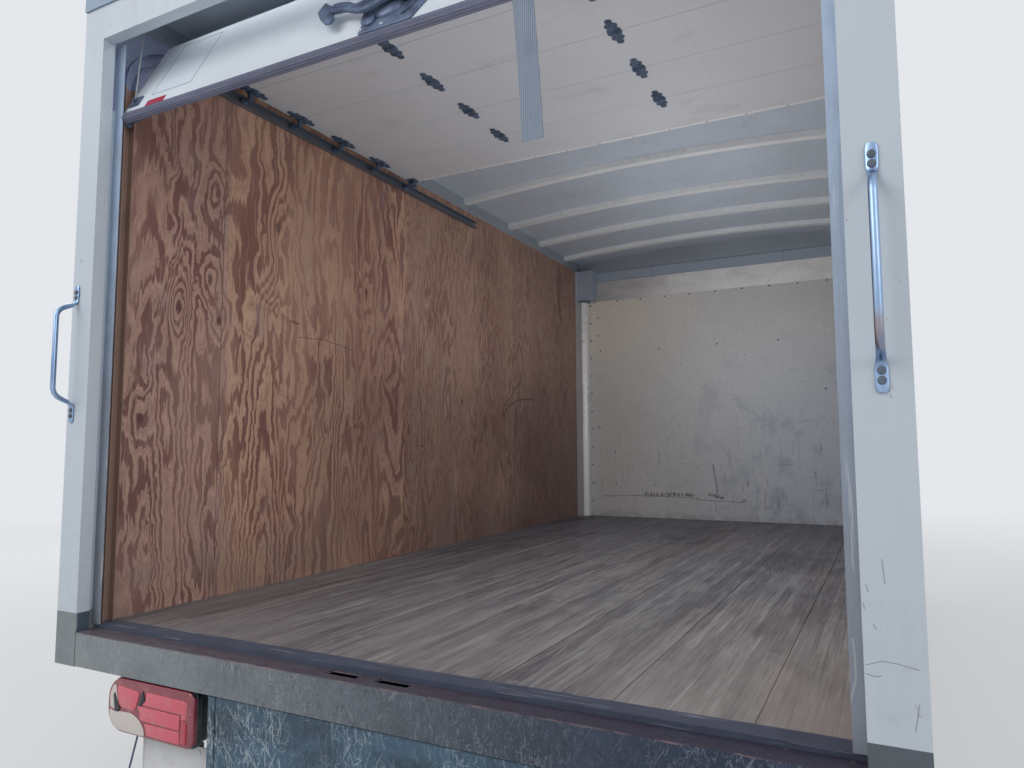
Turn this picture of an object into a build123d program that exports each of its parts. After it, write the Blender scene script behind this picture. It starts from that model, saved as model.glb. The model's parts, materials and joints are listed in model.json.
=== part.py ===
from build123d import *
import os
from math import asin, cos, degrees, radians, sin, sqrt

# Cargo box of a 14 ft box truck, lifted off its chassis, rear door rolled up.
# Millimetres. +X is the right side seen from behind, +Y is the front, +Z is up.
# The origin is the middle of the four chassis bolts, level with the underside of the long sills.

os.makedirs("parts", exist_ok=True)

# Overall box
body_width = 2438.0
body_length = 4380.0
wall_thickness = 85.0
rear_y = -body_length / 2
front_y = body_length / 2
side_x = body_width / 2
lining_x = side_x - wall_thickness

# How far a cutting block runs past what it cuts, and the gap between pieces that nearly touch
cut_margin = 1.0
contact_clearance = 0.3

# Underframe
long_sill_height = 75.0
long_sill_flange = 50.0
long_sill_wall = 6.0
long_sill_x = 425.0
long_sill_rear_gap = 60.0
long_sill_front_gap = 20.0
cross_member_height = 86.0
cross_member_flange = 57.0
cross_member_wall = 5.0
cross_member_pitch = 305.0
cross_member_first = 250.0
cross_member_last_gap = 120.0

# Chassis brackets and bolts
bracket_length = 100.0
bracket_reach = 80.0
bracket_wall = 8.0
bolt_spacing_x = 2 * long_sill_x + bracket_reach
bolt_spacing_y = 2600.0
bolt_hole_radius = 8.5

# Floor
floor_thickness = 29.0
floor_board_width = 303.0
floor_board_gap = 1.0
floor_edge_gap = 1.0
floor_bottom = long_sill_height + cross_member_height
floor_top = floor_bottom + floor_thickness

# Rear sill and threshold
sill_height = 104.0
sill_step = 11.0
sill_wall = 6.0
sill_depth = 126.0
sill_top = floor_top - sill_step
sill_bottom = sill_top - sill_height
threshold_depth = 62.0
threshold_lip = 2.0
lock_slot_length = 100.0
lock_slot_width = 34.0
lock_slot_to_threshold = 4.0
lock_slot_from_rear = sill_depth - threshold_depth - lock_slot_to_threshold - lock_slot_width / 2
lock_slot_left_x = -80.0
lock_slot_right_x = 76.0

# Rear posts, header and cap
post_width = 100.0
reveal_depth = 42.0
post_depth = sill_depth
post_base_height = 163.0
post_paint_over_floor = 46.0
post_paint_bottom = floor_top + post_paint_over_floor
opening_height = 1939.0
header_height = 117.0
header_bottom = floor_top + opening_height
header_top = header_bottom + header_height
cap_depth = 56.0
cap_proud = 6.0
cap_edge_radius = 18.0
post_inner_x = side_x - post_width

# Walls, linings and rails
lining_thickness = 12.0
lining_under_header_top = 10.0
lining_first_seam = 536.0
lining_sheet = 1219.0
lining_gap = 1.0
lining_end_gap = 194.0
lining_end = body_length - lining_end_gap
wall_inset = 6.0
base_rail_over_floor = 35.0
base_rail_top = floor_top + base_rail_over_floor
rail_top_edge = header_top - lining_under_header_top
wall_inner_x = lining_x + lining_thickness
wall_outer_x = side_x - wall_inset

# Front end
front_wall_thickness = 53.0
front_corner_radius = 60.0
front_corner_depth = 80.0
front_panel_inset = 76.0
front_panel_thickness = 12.0
upper_sheet_height = 85.0
band_height = 165.0
band_proud = 5.0
gusset_width = 145.0
gusset_setback = 20.0
front_panel_half_width = lining_x - front_panel_inset
front_wall_inner_y = front_y - front_wall_thickness
front_panel_face_y = front_wall_inner_y - front_panel_thickness
band_top = rail_top_edge - upper_sheet_height
front_panel_top = band_top - band_height

# Roof
bow_end_over_lining = 46.0
bow_end_z = rail_top_edge + bow_end_over_lining
roof_crown = 52.0
bow_height = 32.0
bow_width = 48.0
roof_thickness = 8.0
rail_inset = 4.0
rail_inner_x = lining_x + rail_inset
rear_bow_pitch = 600.0
second_bow_from_front = 880.0
first_bow_from_front = 391.0

# Door stops and tracks
stop_gap = 18.0
stop_width = 42.0
stop_from_rear = reveal_depth + stop_gap
stop_inner_x = lining_x - stop_width
track_size = 38.0
track_wall = 3.0
track_reach = 26.0
track_bend_radius = 170.0
track_end = 2490.0

# Roll-up door, raised
door_side_gap = 34.0
door_half_width = lining_x - door_side_gap
door_thickness = 20.0
door_to_stop = 1.0
door_outer_from_rear = stop_from_rear + track_wall + door_to_stop
door_panel_gap = 2.0
door_over_header = 73.0
door_under_z = header_bottom + door_over_header
bottom_panel_low_in = 4.0
bottom_panel_high_in = 167.0
bottom_panel_hang = 241.0
bottom_panel_low = (door_outer_from_rear + bottom_panel_low_in, header_bottom - bottom_panel_hang)
bottom_panel_high = (door_outer_from_rear + bottom_panel_high_in, door_under_z)
second_panel_reach = 369.0
middle_panel_pitch = 280.0
middle_panel_count = 3
top_panel_length = 318.0
seal_height = 26.0
seal_thickness = 26.0
seal_end_gap = 1.0

# Hinges and rollers
roller_offset = 35.0
low_roller_offset = 15.0
roller_radius = 15.0
roller_width = 20.0
roller_stem_radius = 5.0
carrier_thickness = 16.0
carrier_length = 24.0
carrier_below_stem = 3.0
hinge_length = 160.0
hinge_width = 50.0
hinge_wall = 4.0
hinge_knuckle_radius = 7.0
centre_hinge_x = 380.0
edge_hinge_inset = 28.0
edge_hinge_x = door_half_width - edge_hinge_inset
top_fixture_from_joint = 31.0
foot_height = 70.0
foot_inner_inset = 40.0
foot_outer_inset = 8.0
foot_past_stem = 8.0

# Counterbalance and lift cables
shaft_radius = 13.0
drum_radius = 38.0
drum_width = 34.0
drum_inset = 38.0
drum_x = door_half_width - drum_inset
spring_radius = 30.0
spring_to_drum = 242.0
spring_middle_gap = 60.0
shaft_from_rear = 100.0
shaft_over_header = 14.0
shaft_z = header_top + shaft_over_header
shaft_bracket_width = 40.0
cable_radius = 2.5
cable_drum_offset = 7.6
cable_bracket_size = 46.0
cable_bracket_wall = 5.0
cable_bracket_up = 48.0
cable_pin_radius = 7.0
cable_pin_length = 10.0
cable_seat = 1.3

# Latch and pull strap
latch_plate_left_x = -99.0
latch_plate_right_x = 135.0
latch_plate_height = 170.0
latch_plate_wall = 6.0
latch_boss_radius = 26.0
latch_boss_height = 20.0
latch_lever_tip_x = -272.0
latch_lever_root_x = 60.0
latch_lever_width = 26.0
latch_lever_wall = 12.0
latch_lever_up = 118.0
latch_hook_width = 70.0
latch_hook_length = 62.0
strap_width = 56.0
strap_thickness = 3.0
strap_top_x = 400.0
strap_lean = 28.0
strap_drop = 391.0
strap_tab = 60.0
strap_past_seal = 1.0

# Grab handles
handle_radius = 8.0
handle_standoff = 66.0
handle_bend = 30.0
handle_pad_length = 62.0
handle_pad_width = 23.0
handle_pad_thickness = 5.0
handle_bolt_radius = 4.5
handle_bolt_edge = 22.0
handle_bolt_pitch = 18.0
left_handle_inset = 26.0
left_handle_over_floor = 646.0
left_handle_length = 452.0
right_handle_inset = 50.0
right_handle_over_floor = 654.0
right_handle_length = 460.0

# Step panel under the sill
step_half_width = 522.0
step_height = 255.0
step_gap = 4.0
step_wall = 6.0
step_depth = 50.0
step_inset = 6.0
step_bracket_length = 150.0
step_bracket_wall = 8.0
step_top = sill_bottom - step_gap
step_face_y = rear_y + step_inset

# Tail lamps
lamp_to_step = 52.0
lamp_width = 376.0
lamp_height = 158.0
lamp_drop = 4.0
lamp_proud = 4.0
lamp_body_depth = 64.0
lamp_lens_depth = 24.0
lamp_outer_radius = 60.0
lamp_inner_radius = 22.0
lens_rim = 2.0
lamp_bracket_width = 246.0
lamp_bracket_inset = 40.0
lamp_bracket_height = 40.0
lamp_bracket_setback = 10.0
lamp_bracket_wall = 5.0
lamp_inner_x = step_half_width + lamp_to_step
lamp_outer_x = lamp_inner_x + lamp_width
lamp_top = sill_bottom - lamp_drop
lamp_back_y = rear_y - lamp_proud + lamp_lens_depth

# Licence plate and clearance lamps
plate_width = 305.0
plate_height = 152.0
plate_thickness = 1.5
plate_below_lamp = 12.0
plate_from_rear = 60.0
plate_to_lamp_end = 131.5
plate_x = -lamp_inner_x - plate_to_lamp_end
plate_top = lamp_top - lamp_height - plate_below_lamp
plate_hanger_width = 200.0
plate_hanger_wall = 5.0
plate_hanger_up = 40.0
marker_height = 34.0
marker_width = 62.0
marker_depth = 16.0
rear_marker_over_header = 42.0
rear_marker_inset = 99.0
rear_marker_pitch = 150.0
front_marker_inset = 139.0
front_marker_over_lining = 28.0


def from_rear(distance):
    """The Y place that lies this far in front of the rear posts' face."""
    return rear_y + distance


def block(x_span, y_span, z_span):
    """A box between two values on each axis."""
    spans = (x_span, y_span, z_span)
    sizes = [high - low for low, high in spans]
    centre = [(low + high) / 2 for low, high in spans]
    return Pos(*centre) * Box(*sizes)


def on_both_sides(shape):
    """A piece and its mirror image on the other side of the box."""
    return [shape, mirror(shape, about=Plane.YZ)]


def side_prism(points, x_span):
    """A prism across the box whose outline is given as distance from the rear and height."""
    outline = [(from_rear(y), z) for y, z in points]
    face = Plane.YZ * make_face(Polyline(*outline, close=True))
    return Pos(x_span[0], 0, 0) * extrude(face, amount=x_span[1] - x_span[0])


def plan_prism(points, z_span):
    """A prism standing on a plan outline."""
    face = make_face(Polyline(*points, close=True))
    return Pos(0, 0, z_span[0]) * extrude(face, amount=z_span[1] - z_span[0])


def save(node, shapes):
    """One named piece of the box."""
    solids = shapes if isinstance(shapes, list) else [shapes]
    export_step(solids[0] if len(solids) == 1 else Compound(solids), f"parts/{node}.step")


# Roof curve: one wide arc, the same for bows, skin and caps
roof_radius = (rail_inner_x ** 2 + roof_crown ** 2) / (2 * roof_crown)
crown_z = bow_end_z + roof_crown
roof_under_z = crown_z + bow_height
roof_top_z = roof_under_z + roof_thickness


def arc_drop(x, radius):
    """How far an arc about the middle plane has fallen at a distance from the middle."""
    return radius - sqrt(radius ** 2 - x ** 2)


def below_arc(half_width, z_bottom, z_crown, y_span):
    """A full-width block with a crowned top."""
    radius = roof_radius + z_crown - crown_z
    z_edge = z_crown - arc_drop(half_width, radius)
    arc = ThreePointArc((-half_width, z_edge), (0, z_crown), (half_width, z_edge))
    right_side = [(half_width, z_edge), (half_width, z_bottom)]
    left_side = [(-half_width, z_bottom), (-half_width, z_edge)]
    sides = Polyline(*right_side, *left_side)
    face = Plane.XZ * make_face([arc, sides])
    return Pos(0, y_span[1], 0) * extrude(face, amount=y_span[1] - y_span[0])


def long_sills():
    """Two channels that sit on the chassis rails, webs outward."""
    y_span = (from_rear(long_sill_rear_gap), front_y - long_sill_front_gap)
    outer = block((long_sill_x - long_sill_flange, long_sill_x), y_span, (0, long_sill_height))
    hollow = block(
        (long_sill_x - long_sill_flange - cut_margin, long_sill_x - long_sill_wall),
        (y_span[0] - cut_margin, y_span[1] + cut_margin),
        (long_sill_wall, long_sill_height - long_sill_wall),
    )
    return on_both_sides(outer - hollow)


def cross_member_places():
    """Distances of the cross members from the rear face."""
    last = body_length - cross_member_last_gap
    count = int((last - cross_member_first) // cross_member_pitch) + 1
    return [cross_member_first + cross_member_pitch * number for number in range(count)]


def cross_members():
    """I-beams from base rail to base rail, under the floor."""
    beams = []
    for place in cross_member_places():
        middle = from_rear(place)
        wide = (middle - cross_member_flange / 2, middle + cross_member_flange / 2)
        web = (middle - cross_member_wall / 2, middle + cross_member_wall / 2)
        across = (-wall_inner_x, wall_inner_x)
        beam = block(across, web, (long_sill_height, floor_bottom))
        beam += block(across, wide, (long_sill_height, long_sill_height + cross_member_wall))
        beam += block(across, wide, (floor_bottom - cross_member_wall, floor_bottom))
        beams.append(beam)
    return beams


def chassis_brackets():
    """Four angle brackets on the long sills, each with one vertical bolt hole."""
    brackets = []
    for side_y in (-1, 1):
        middle = side_y * bolt_spacing_y / 2
        y_span = (middle - bracket_length / 2, middle + bracket_length / 2)
        foot = block((long_sill_x, long_sill_x + bracket_reach), y_span, (0, bracket_wall))
        leg = block((long_sill_x, long_sill_x + bracket_wall), y_span, (0, long_sill_height))
        hole = Cylinder(bolt_hole_radius, bracket_wall * 2)
        hole = Pos(bolt_spacing_x / 2, middle, bracket_wall / 2) * hole
        brackets += on_both_sides(foot + leg - hole)
    return brackets


def floor_boards():
    """Laminated boards laid lengthwise with open joints, narrow ones at the walls."""
    edge = wall_inner_x - floor_edge_gap
    seams = [-edge]
    count = int(edge // floor_board_width)
    seams += [floor_board_width * number for number in range(-count, count + 1)]
    seams.append(edge)
    y_span = (from_rear(sill_depth), front_panel_face_y)
    boards = []
    for left, right in zip(seams, seams[1:]):
        gap_left = floor_board_gap / 2 if left > -edge else 0
        gap_right = floor_board_gap / 2 if right < edge else 0
        boards.append(block((left + gap_left, right - gap_right), y_span, (floor_bottom, floor_top)))
    return boards


def rear_sill():
    """Steel channel between the post bases, open to the front, with two lock slots in its top."""
    x_span = (-post_inner_x, post_inner_x)
    y_span = (rear_y, from_rear(sill_depth))
    outer = block(x_span, y_span, (sill_bottom, sill_top))
    hollow = block(
        (x_span[0] - cut_margin, x_span[1] + cut_margin),
        (rear_y + sill_wall, y_span[1] + cut_margin),
        (sill_bottom + sill_wall, sill_top - sill_wall),
    )
    sill = outer - hollow
    for x in (lock_slot_left_x, lock_slot_right_x):
        slot = Box(lock_slot_length, lock_slot_width, 2 * (sill_wall + cut_margin))
        sill -= Pos(x, from_rear(lock_slot_from_rear), sill_top) * slot
    return sill


def threshold_bar():
    """Raised steel strip between the sill's slots and the floor boards."""
    y_span = (from_rear(sill_depth - threshold_depth), from_rear(sill_depth))
    return block((-post_inner_x, post_inner_x), y_span, (sill_top, floor_top + threshold_lip))


def rear_post():
    """Right rear post: a face with a reveal, and a leg in line with the wall."""
    z_span = (post_paint_bottom, header_top)
    face = block((post_inner_x, side_x), (rear_y, from_rear(reveal_depth)), z_span)
    leg = block((lining_x, side_x), (rear_y, from_rear(post_depth)), z_span)
    return face + leg


def post_base():
    """Right post's foot, beside the sill."""
    z_span = (post_paint_bottom - post_base_height, post_paint_bottom)
    face = block((post_inner_x, side_x), (rear_y, from_rear(reveal_depth)), z_span)
    leg = block((lining_x, side_x), (rear_y, from_rear(post_depth)), z_span)
    return face + leg


def rear_header():
    """Beam between the posts, over the door opening."""
    x_span = (-post_inner_x, post_inner_x)
    return block(x_span, (rear_y, from_rear(reveal_depth)), (header_bottom, header_top))


def rear_cap():
    """Crowned end plate over header and posts, rounded at its top rear edge."""
    y_span = (rear_y - cap_proud, from_rear(cap_depth))
    plate = below_arc(side_x, header_top, roof_top_z + cap_proud, y_span)
    rear_edges = plate.edges().filter_by(GeomType.CIRCLE).sort_by(Axis.Y)[0]
    return fillet(rear_edges, cap_edge_radius)


def base_rails():
    """Rails at the foot of the side walls."""
    y_span = (from_rear(post_depth), front_y - front_corner_depth)
    return on_both_sides(block((wall_inner_x, side_x), y_span, (long_sill_height, base_rail_top)))


def top_rails():
    """Rails along the top of the side walls, closed by the roof skin."""
    y_span = (from_rear(cap_depth), front_y - front_corner_depth)
    rail = block((rail_inner_x, side_x), y_span, (rail_top_edge, roof_top_z))
    roof_side = below_arc(side_x, 0, roof_under_z, (rear_y, front_y))
    rail = rail & roof_side
    past_post = (rail_inner_x - cut_margin, side_x + cut_margin)
    rail -= block(past_post, (rear_y, from_rear(post_depth)), (0, header_top))
    return on_both_sides(rail.solids()[0])


def side_wall():
    """Right side wall, as thick as the whole wall behind the plywood."""
    y_span = (from_rear(post_depth), front_y - front_corner_depth)
    return block((wall_inner_x, wall_outer_x), y_span, (base_rail_top, rail_top_edge))


def wall_lining():
    """Right side's plywood sheets, floor to rail, with narrow seams."""
    seams = [post_depth]
    place = lining_first_seam
    while place < lining_end:
        seams.append(place)
        place += lining_sheet
    if lining_end - seams[-1] < lining_sheet / 10:
        seams.pop()
    seams.append(lining_end)
    sheets = []
    for start, end in zip(seams, seams[1:]):
        gap = lining_gap if end < lining_end else 0
        y_span = (from_rear(start), from_rear(end - gap))
        sheets.append(block((lining_x, wall_inner_x), y_span, (floor_top, rail_top_edge)))
    return sheets


def front_wall():
    """Front wall between the corner posts, floor to rail."""
    y_span = (front_wall_inner_y, front_y)
    return block((-wall_inner_x, wall_inner_x), y_span, (long_sill_height, rail_top_edge))


def front_lining():
    """White panel on the front wall, which goes down behind the floor boards' ends."""
    return block(
        (-front_panel_half_width, front_panel_half_width),
        (front_panel_face_y, front_wall_inner_y),
        (floor_bottom, front_panel_top),
    )


def front_band():
    """Metal band above the white panel."""
    return block(
        (-front_panel_half_width, front_panel_half_width),
        (front_panel_face_y - band_proud, front_wall_inner_y),
        (front_panel_top, band_top),
    )


def front_corner_posts():
    """Rounded outer corner posts at the front."""
    y_span = (front_y - front_corner_depth, front_y)
    post = block((wall_inner_x, side_x), y_span, (long_sill_height, rail_top_edge))
    corner = post.edges().filter_by(Axis.Z).group_by(Axis.Y)[-1].sort_by(Axis.X)[-1]
    return on_both_sides(fillet(corner, front_corner_radius))


def front_inner_posts():
    """Slanted inner posts between lining and front panel, with a box gusset at the top."""
    start_y = from_rear(lining_end)
    plan = [
        (lining_x, start_y),
        (front_panel_half_width, front_panel_face_y - band_proud),
        (front_panel_half_width, front_wall_inner_y),
        (wall_inner_x, front_wall_inner_y),
        (wall_inner_x, start_y),
    ]
    post = plan_prism(plan, (floor_top, rail_top_edge))
    gusset = block(
        (lining_x - gusset_width, lining_x),
        (start_y + gusset_setback, front_panel_face_y - band_proud),
        (front_panel_top, rail_top_edge),
    )
    return on_both_sides(post + gusset)


def roof_skin():
    """Crowned roof sheet on the bows and rails."""
    y_span = (from_rear(cap_depth), front_y - front_corner_depth)
    whole = below_arc(side_x, 0, roof_top_z, y_span)
    past_ends = (y_span[0] - cut_margin, y_span[1] + cut_margin)
    return whole - below_arc(side_x + cut_margin, -cut_margin, roof_under_z, past_ends)


def bow_places():
    """Distances of the bows from the rear face: evenly spaced, then two nearer the front."""
    front_places = [body_length - second_bow_from_front, body_length - first_bow_from_front]
    count = int((front_places[0] - rear_bow_pitch / 2) // rear_bow_pitch)
    return [rear_bow_pitch * number for number in range(1, count + 1)] + front_places


def roof_bows():
    """Flat bows across the box, under the roof skin."""
    bows = []
    for place in bow_places():
        y_span = (from_rear(place) - bow_width / 2, from_rear(place) + bow_width / 2)
        past_faces = (y_span[0] - cut_margin, y_span[1] + cut_margin)
        whole = below_arc(rail_inner_x, 0, roof_under_z, y_span)
        bows.append(whole - below_arc(rail_inner_x + cut_margin, -cut_margin, crown_z, past_faces))
    return bows


def front_cap():
    """Crowned front end over the front wall, rounded at its top edge."""
    y_span = (front_y - front_corner_depth, front_y)
    cap = below_arc(side_x, rail_top_edge, roof_top_z + cap_proud, y_span)
    front_edge = cap.edges().filter_by(GeomType.CIRCLE).sort_by(Axis.Y)[-1]
    return fillet(front_edge, front_corner_radius / 2)


# Door geometry: the bottom panel leans in the bend, the others lie overhead
door_lean_y = bottom_panel_high[0] - bottom_panel_low[0]
door_lean_z = bottom_panel_high[1] - bottom_panel_low[1]
bottom_panel_length = sqrt(door_lean_y ** 2 + door_lean_z ** 2)
lean_angle = degrees(asin(door_lean_y / bottom_panel_length))
along = (sin(radians(lean_angle)), cos(radians(lean_angle)))
inward = (along[1], -along[0])

# Distances from the rear to the ends of the overhead panels, from the second panel's to the top one's
second_panel_end = bottom_panel_high[0] + second_panel_reach
panel_ends = [second_panel_end + middle_panel_pitch * number for number in range(middle_panel_count + 1)]
panel_ends.append(panel_ends[-1] + top_panel_length)
hinge_places = [end - door_panel_gap / 2 for end in panel_ends[:-1]]


def on_bottom_panel(up, depth):
    """A point, as distance from the rear and height, on the leaning panel."""
    y = bottom_panel_low[0] + along[0] * up + inward[0] * depth
    z = bottom_panel_low[1] + along[1] * up + inward[1] * depth
    return (y, z)


def leaning_slab(up_span, depth_span, x_span):
    """A slab parallel to the bottom panel. Depth counts inward from the outer face."""
    corners = (
        on_bottom_panel(up_span[0], depth_span[0]),
        on_bottom_panel(up_span[1], depth_span[0]),
        on_bottom_panel(up_span[1], depth_span[1]),
        on_bottom_panel(up_span[0], depth_span[1]),
    )
    return side_prism(corners, x_span)


def door_panels():
    """Panels from the bottom one, leaning in the bend, to the top one, farthest forward."""
    across = (-door_half_width, door_half_width)
    panels = [leaning_slab((0, bottom_panel_length), (0, door_thickness), across)]
    top = door_under_z + door_thickness
    start = bottom_panel_high[0] + inward[0] * door_thickness + door_panel_gap
    for end in panel_ends:
        y_span = (from_rear(start), from_rear(end - door_panel_gap))
        panels.append(block(across, y_span, (door_under_z, top)))
        start = end
    return panels


seal_proud = (seal_thickness - door_thickness) / 2


def door_seal():
    """Rubber seal along the bottom panel's lower edge, between the stops."""
    depth_span = (-seal_proud, door_thickness + seal_proud)
    seal_end = stop_inner_x - seal_end_gap
    return leaning_slab((-seal_height, 0), depth_span, (-seal_end, seal_end))


def hinge(x, place):
    """One hinge under a joint of two overhead panels."""
    y = from_rear(place)
    leaf = Pos(x, y, door_under_z - hinge_wall / 2) * Box(hinge_width, hinge_length, hinge_wall)
    pin = Pos(x, y, door_under_z - hinge_wall) * Rot(0, 90, 0) * Cylinder(hinge_knuckle_radius, hinge_width)
    below_door = (door_under_z - hinge_length, door_under_z)
    pin &= block((x - hinge_width, x + hinge_width), (y - hinge_length, y + hinge_length), below_door)
    return leaf + pin


def roller(x_inner, y, z):
    """Right-hand roller: a stem from the door and a wheel in the track."""
    wheel_x = lining_x - track_wall - contact_clearance - roller_width / 2
    wheel = Pos(wheel_x, y, z) * Rot(0, 90, 0) * Cylinder(roller_radius, roller_width)
    stem_length = wheel_x - x_inner
    stem = Pos(x_inner + stem_length / 2, y, z) * Rot(0, 90, 0) * Cylinder(roller_stem_radius, stem_length)
    return wheel + stem


def door_hinges():
    """Hinges in four columns, and the top fixtures at the last panel's corners."""
    pieces = []
    for place in hinge_places:
        for x in (-edge_hinge_x, -centre_hinge_x, centre_hinge_x, edge_hinge_x):
            pieces.append(hinge(x, place))
    fixture = block(
        (edge_hinge_x - hinge_width / 2, edge_hinge_x + hinge_width / 2),
        (from_rear(panel_ends[-1] - 2 * top_fixture_from_joint), from_rear(panel_ends[-1] - door_panel_gap)),
        (door_under_z - roller_offset - roller_stem_radius, door_under_z),
    )
    return pieces + on_both_sides(fixture)


def door_rollers():
    """Rollers in the tracks: at each joint, the top fixture and the bottom corner."""
    rollers = []
    z = door_under_z - roller_offset
    for place in hinge_places:
        y = from_rear(place)
        carrier = block(
            (edge_hinge_x, edge_hinge_x + carrier_thickness),
            (y - carrier_length / 2, y + carrier_length / 2),
            (z - roller_stem_radius - carrier_below_stem, door_under_z - hinge_wall - hinge_knuckle_radius),
        )
        rollers += on_both_sides(roller(edge_hinge_x + carrier_thickness / 2, y, z) + carrier)
    top_place = from_rear(panel_ends[-1] - top_fixture_from_joint)
    rollers += on_both_sides(roller(edge_hinge_x + hinge_width / 2, top_place, z))
    low_depth = door_thickness + low_roller_offset
    low_up = (track_line_y - bottom_panel_low[0] - inward[0] * low_depth) / along[0]
    low_y, low_z = on_bottom_panel(low_up, low_depth)
    foot_x = (door_half_width - foot_inner_inset, door_half_width - foot_outer_inset)
    foot_depth = (door_thickness, low_depth + foot_past_stem)
    foot = leaning_slab((0, foot_height), foot_depth, foot_x)
    rollers += on_both_sides(roller(sum(foot_x) / 2, from_rear(low_y), low_z) + foot)
    return rollers


# Track line: vertical at this distance from the rear, then a bend, then overhead
track_line_y = door_outer_from_rear + door_thickness + low_roller_offset
track_line_z = door_under_z - roller_offset
bend_centre_y = track_line_y + track_bend_radius
bend_centre_z = track_line_z - track_bend_radius


def track_profile():
    """Channel section, open towards the middle of the box, in (across, along the depth) terms."""
    half = track_size / 2
    inner = lining_x - track_reach
    web = lining_x - track_wall
    return (
        (inner, -half),
        (lining_x, -half),
        (lining_x, half),
        (inner, half),
        (inner, half - track_wall),
        (web, half - track_wall),
        (web, -half + track_wall),
        (inner, -half + track_wall),
    )


def vertical_tracks():
    """Upright channels behind the posts."""
    points = [(x, from_rear(track_line_y) + depth) for x, depth in track_profile()]
    channel = plan_prism(points, (floor_top + threshold_lip, bend_centre_z))
    return on_both_sides(channel)


def door_stops():
    """Angles between the reveal and the tracks that the closed door rests against."""
    z_span = (floor_top + threshold_lip, header_bottom)
    stop_y = from_rear(stop_from_rear)
    flange = block((stop_inner_x, lining_x), (stop_y, stop_y + track_wall), z_span)
    leg_end = from_rear(track_line_y - track_size / 2)
    leg = block((lining_x - track_wall, lining_x), (stop_y, leg_end), z_span)
    return on_both_sides(flange + leg)


def bent_tracks():
    """Quarter bends that join the upright and overhead tracks."""
    points = [(x, from_rear(track_line_y) + depth) for x, depth in track_profile()]
    face = Pos(0, 0, bend_centre_z) * make_face(Polyline(*points, close=True))
    axis = Axis((0, from_rear(bend_centre_y), bend_centre_z), (-1, 0, 0))
    return on_both_sides(revolve(face, axis, 90))


def overhead_tracks():
    """Level channels along the linings."""
    outline = [(x, track_line_z - depth) for x, depth in track_profile()]
    face = Plane.XZ * make_face(Polyline(*outline, close=True))
    length = track_end - bend_centre_y
    return on_both_sides(Pos(0, from_rear(track_end), 0) * extrude(face, amount=length))


def counterbalance():
    """Spring shaft behind the header, with two springs and a cable drum at each end."""
    y = from_rear(shaft_from_rear)

    def turned(radius, x_span):
        middle = (x_span[0] + x_span[1]) / 2
        return Pos(middle, y, shaft_z) * Rot(0, 90, 0) * Cylinder(radius, x_span[1] - x_span[0])

    shaft = turned(shaft_radius, (-rail_inner_x, rail_inner_x))
    for side in (-1, 1):
        ends = sorted((side * spring_middle_gap, side * (drum_x - spring_to_drum)))
        shaft += turned(spring_radius, ends)
        drum = sorted((side * (drum_x - drum_width / 2), side * (drum_x + drum_width / 2)))
        shaft += turned(drum_radius, drum)
    bracket = block(
        (-shaft_bracket_width / 2, shaft_bracket_width / 2),
        (from_rear(cap_depth), y),
        (shaft_z - shaft_radius, shaft_z + shaft_radius),
    )
    return shaft + bracket


def cable_brackets():
    """Corner brackets on the bottom panel that hold the lift cables."""
    bracket = leaning_slab(
        (cable_bracket_up - cable_bracket_size / 2, cable_bracket_up + cable_bracket_size / 2),
        (-cable_bracket_wall, 0),
        (drum_x - cable_bracket_size / 2, drum_x + cable_bracket_size / 2),
    )
    pin_y, pin_z = on_bottom_panel(cable_bracket_up, -cable_bracket_wall - cable_pin_length / 2)
    pin_place = Pos(drum_x, from_rear(pin_y), pin_z) * Rot(90 - lean_angle, 0, 0)
    pin = pin_place * Cylinder(cable_pin_radius, cable_pin_length)
    return on_both_sides(bracket + pin)


def lift_cables():
    """Straight cables from the corner brackets up to the drums."""
    low_up = cable_bracket_up + cable_pin_radius + cable_seat
    low_y, low_z = on_bottom_panel(low_up, -cable_bracket_wall - cable_pin_length / 2)
    high_z = shaft_z - drum_radius - contact_clearance
    start = Vector(drum_x, from_rear(low_y), low_z)
    end = Vector(drum_x, from_rear(shaft_from_rear + cable_drum_offset), high_z)
    line = Line(start, end)
    face = Plane(origin=start, z_dir=end - start) * Circle(cable_radius)
    return on_both_sides(sweep(face, path=line))


def latch_plate():
    """Pressed plate of the lever lock on the bottom panel's outer face."""
    x_span = (latch_plate_left_x, latch_plate_right_x)
    plate = leaning_slab((0, latch_plate_height), (-latch_plate_wall, 0), x_span)
    boss_y, boss_z = on_bottom_panel(latch_lever_up, -latch_plate_wall - latch_boss_height / 2)
    boss_place = Pos(latch_lever_root_x, from_rear(boss_y), boss_z) * Rot(90 - lean_angle, 0, 0)
    return plate + boss_place * Cylinder(latch_boss_radius, latch_boss_height)


def latch_lever():
    """Lever of the lock, lying towards the left with a hooked end."""
    depth = latch_plate_wall + latch_boss_height + contact_clearance
    arm = leaning_slab(
        (latch_lever_up - latch_lever_width / 2, latch_lever_up + latch_lever_width / 2),
        (-depth - latch_lever_wall, -depth),
        (latch_lever_tip_x, latch_lever_root_x + latch_lever_width),
    )
    hook = leaning_slab(
        (latch_lever_up - latch_hook_width / 2, latch_lever_up + latch_hook_width / 2),
        (-depth - latch_lever_wall, -depth),
        (latch_lever_tip_x, latch_lever_tip_x + latch_hook_length),
    )
    return arm + hook


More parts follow.
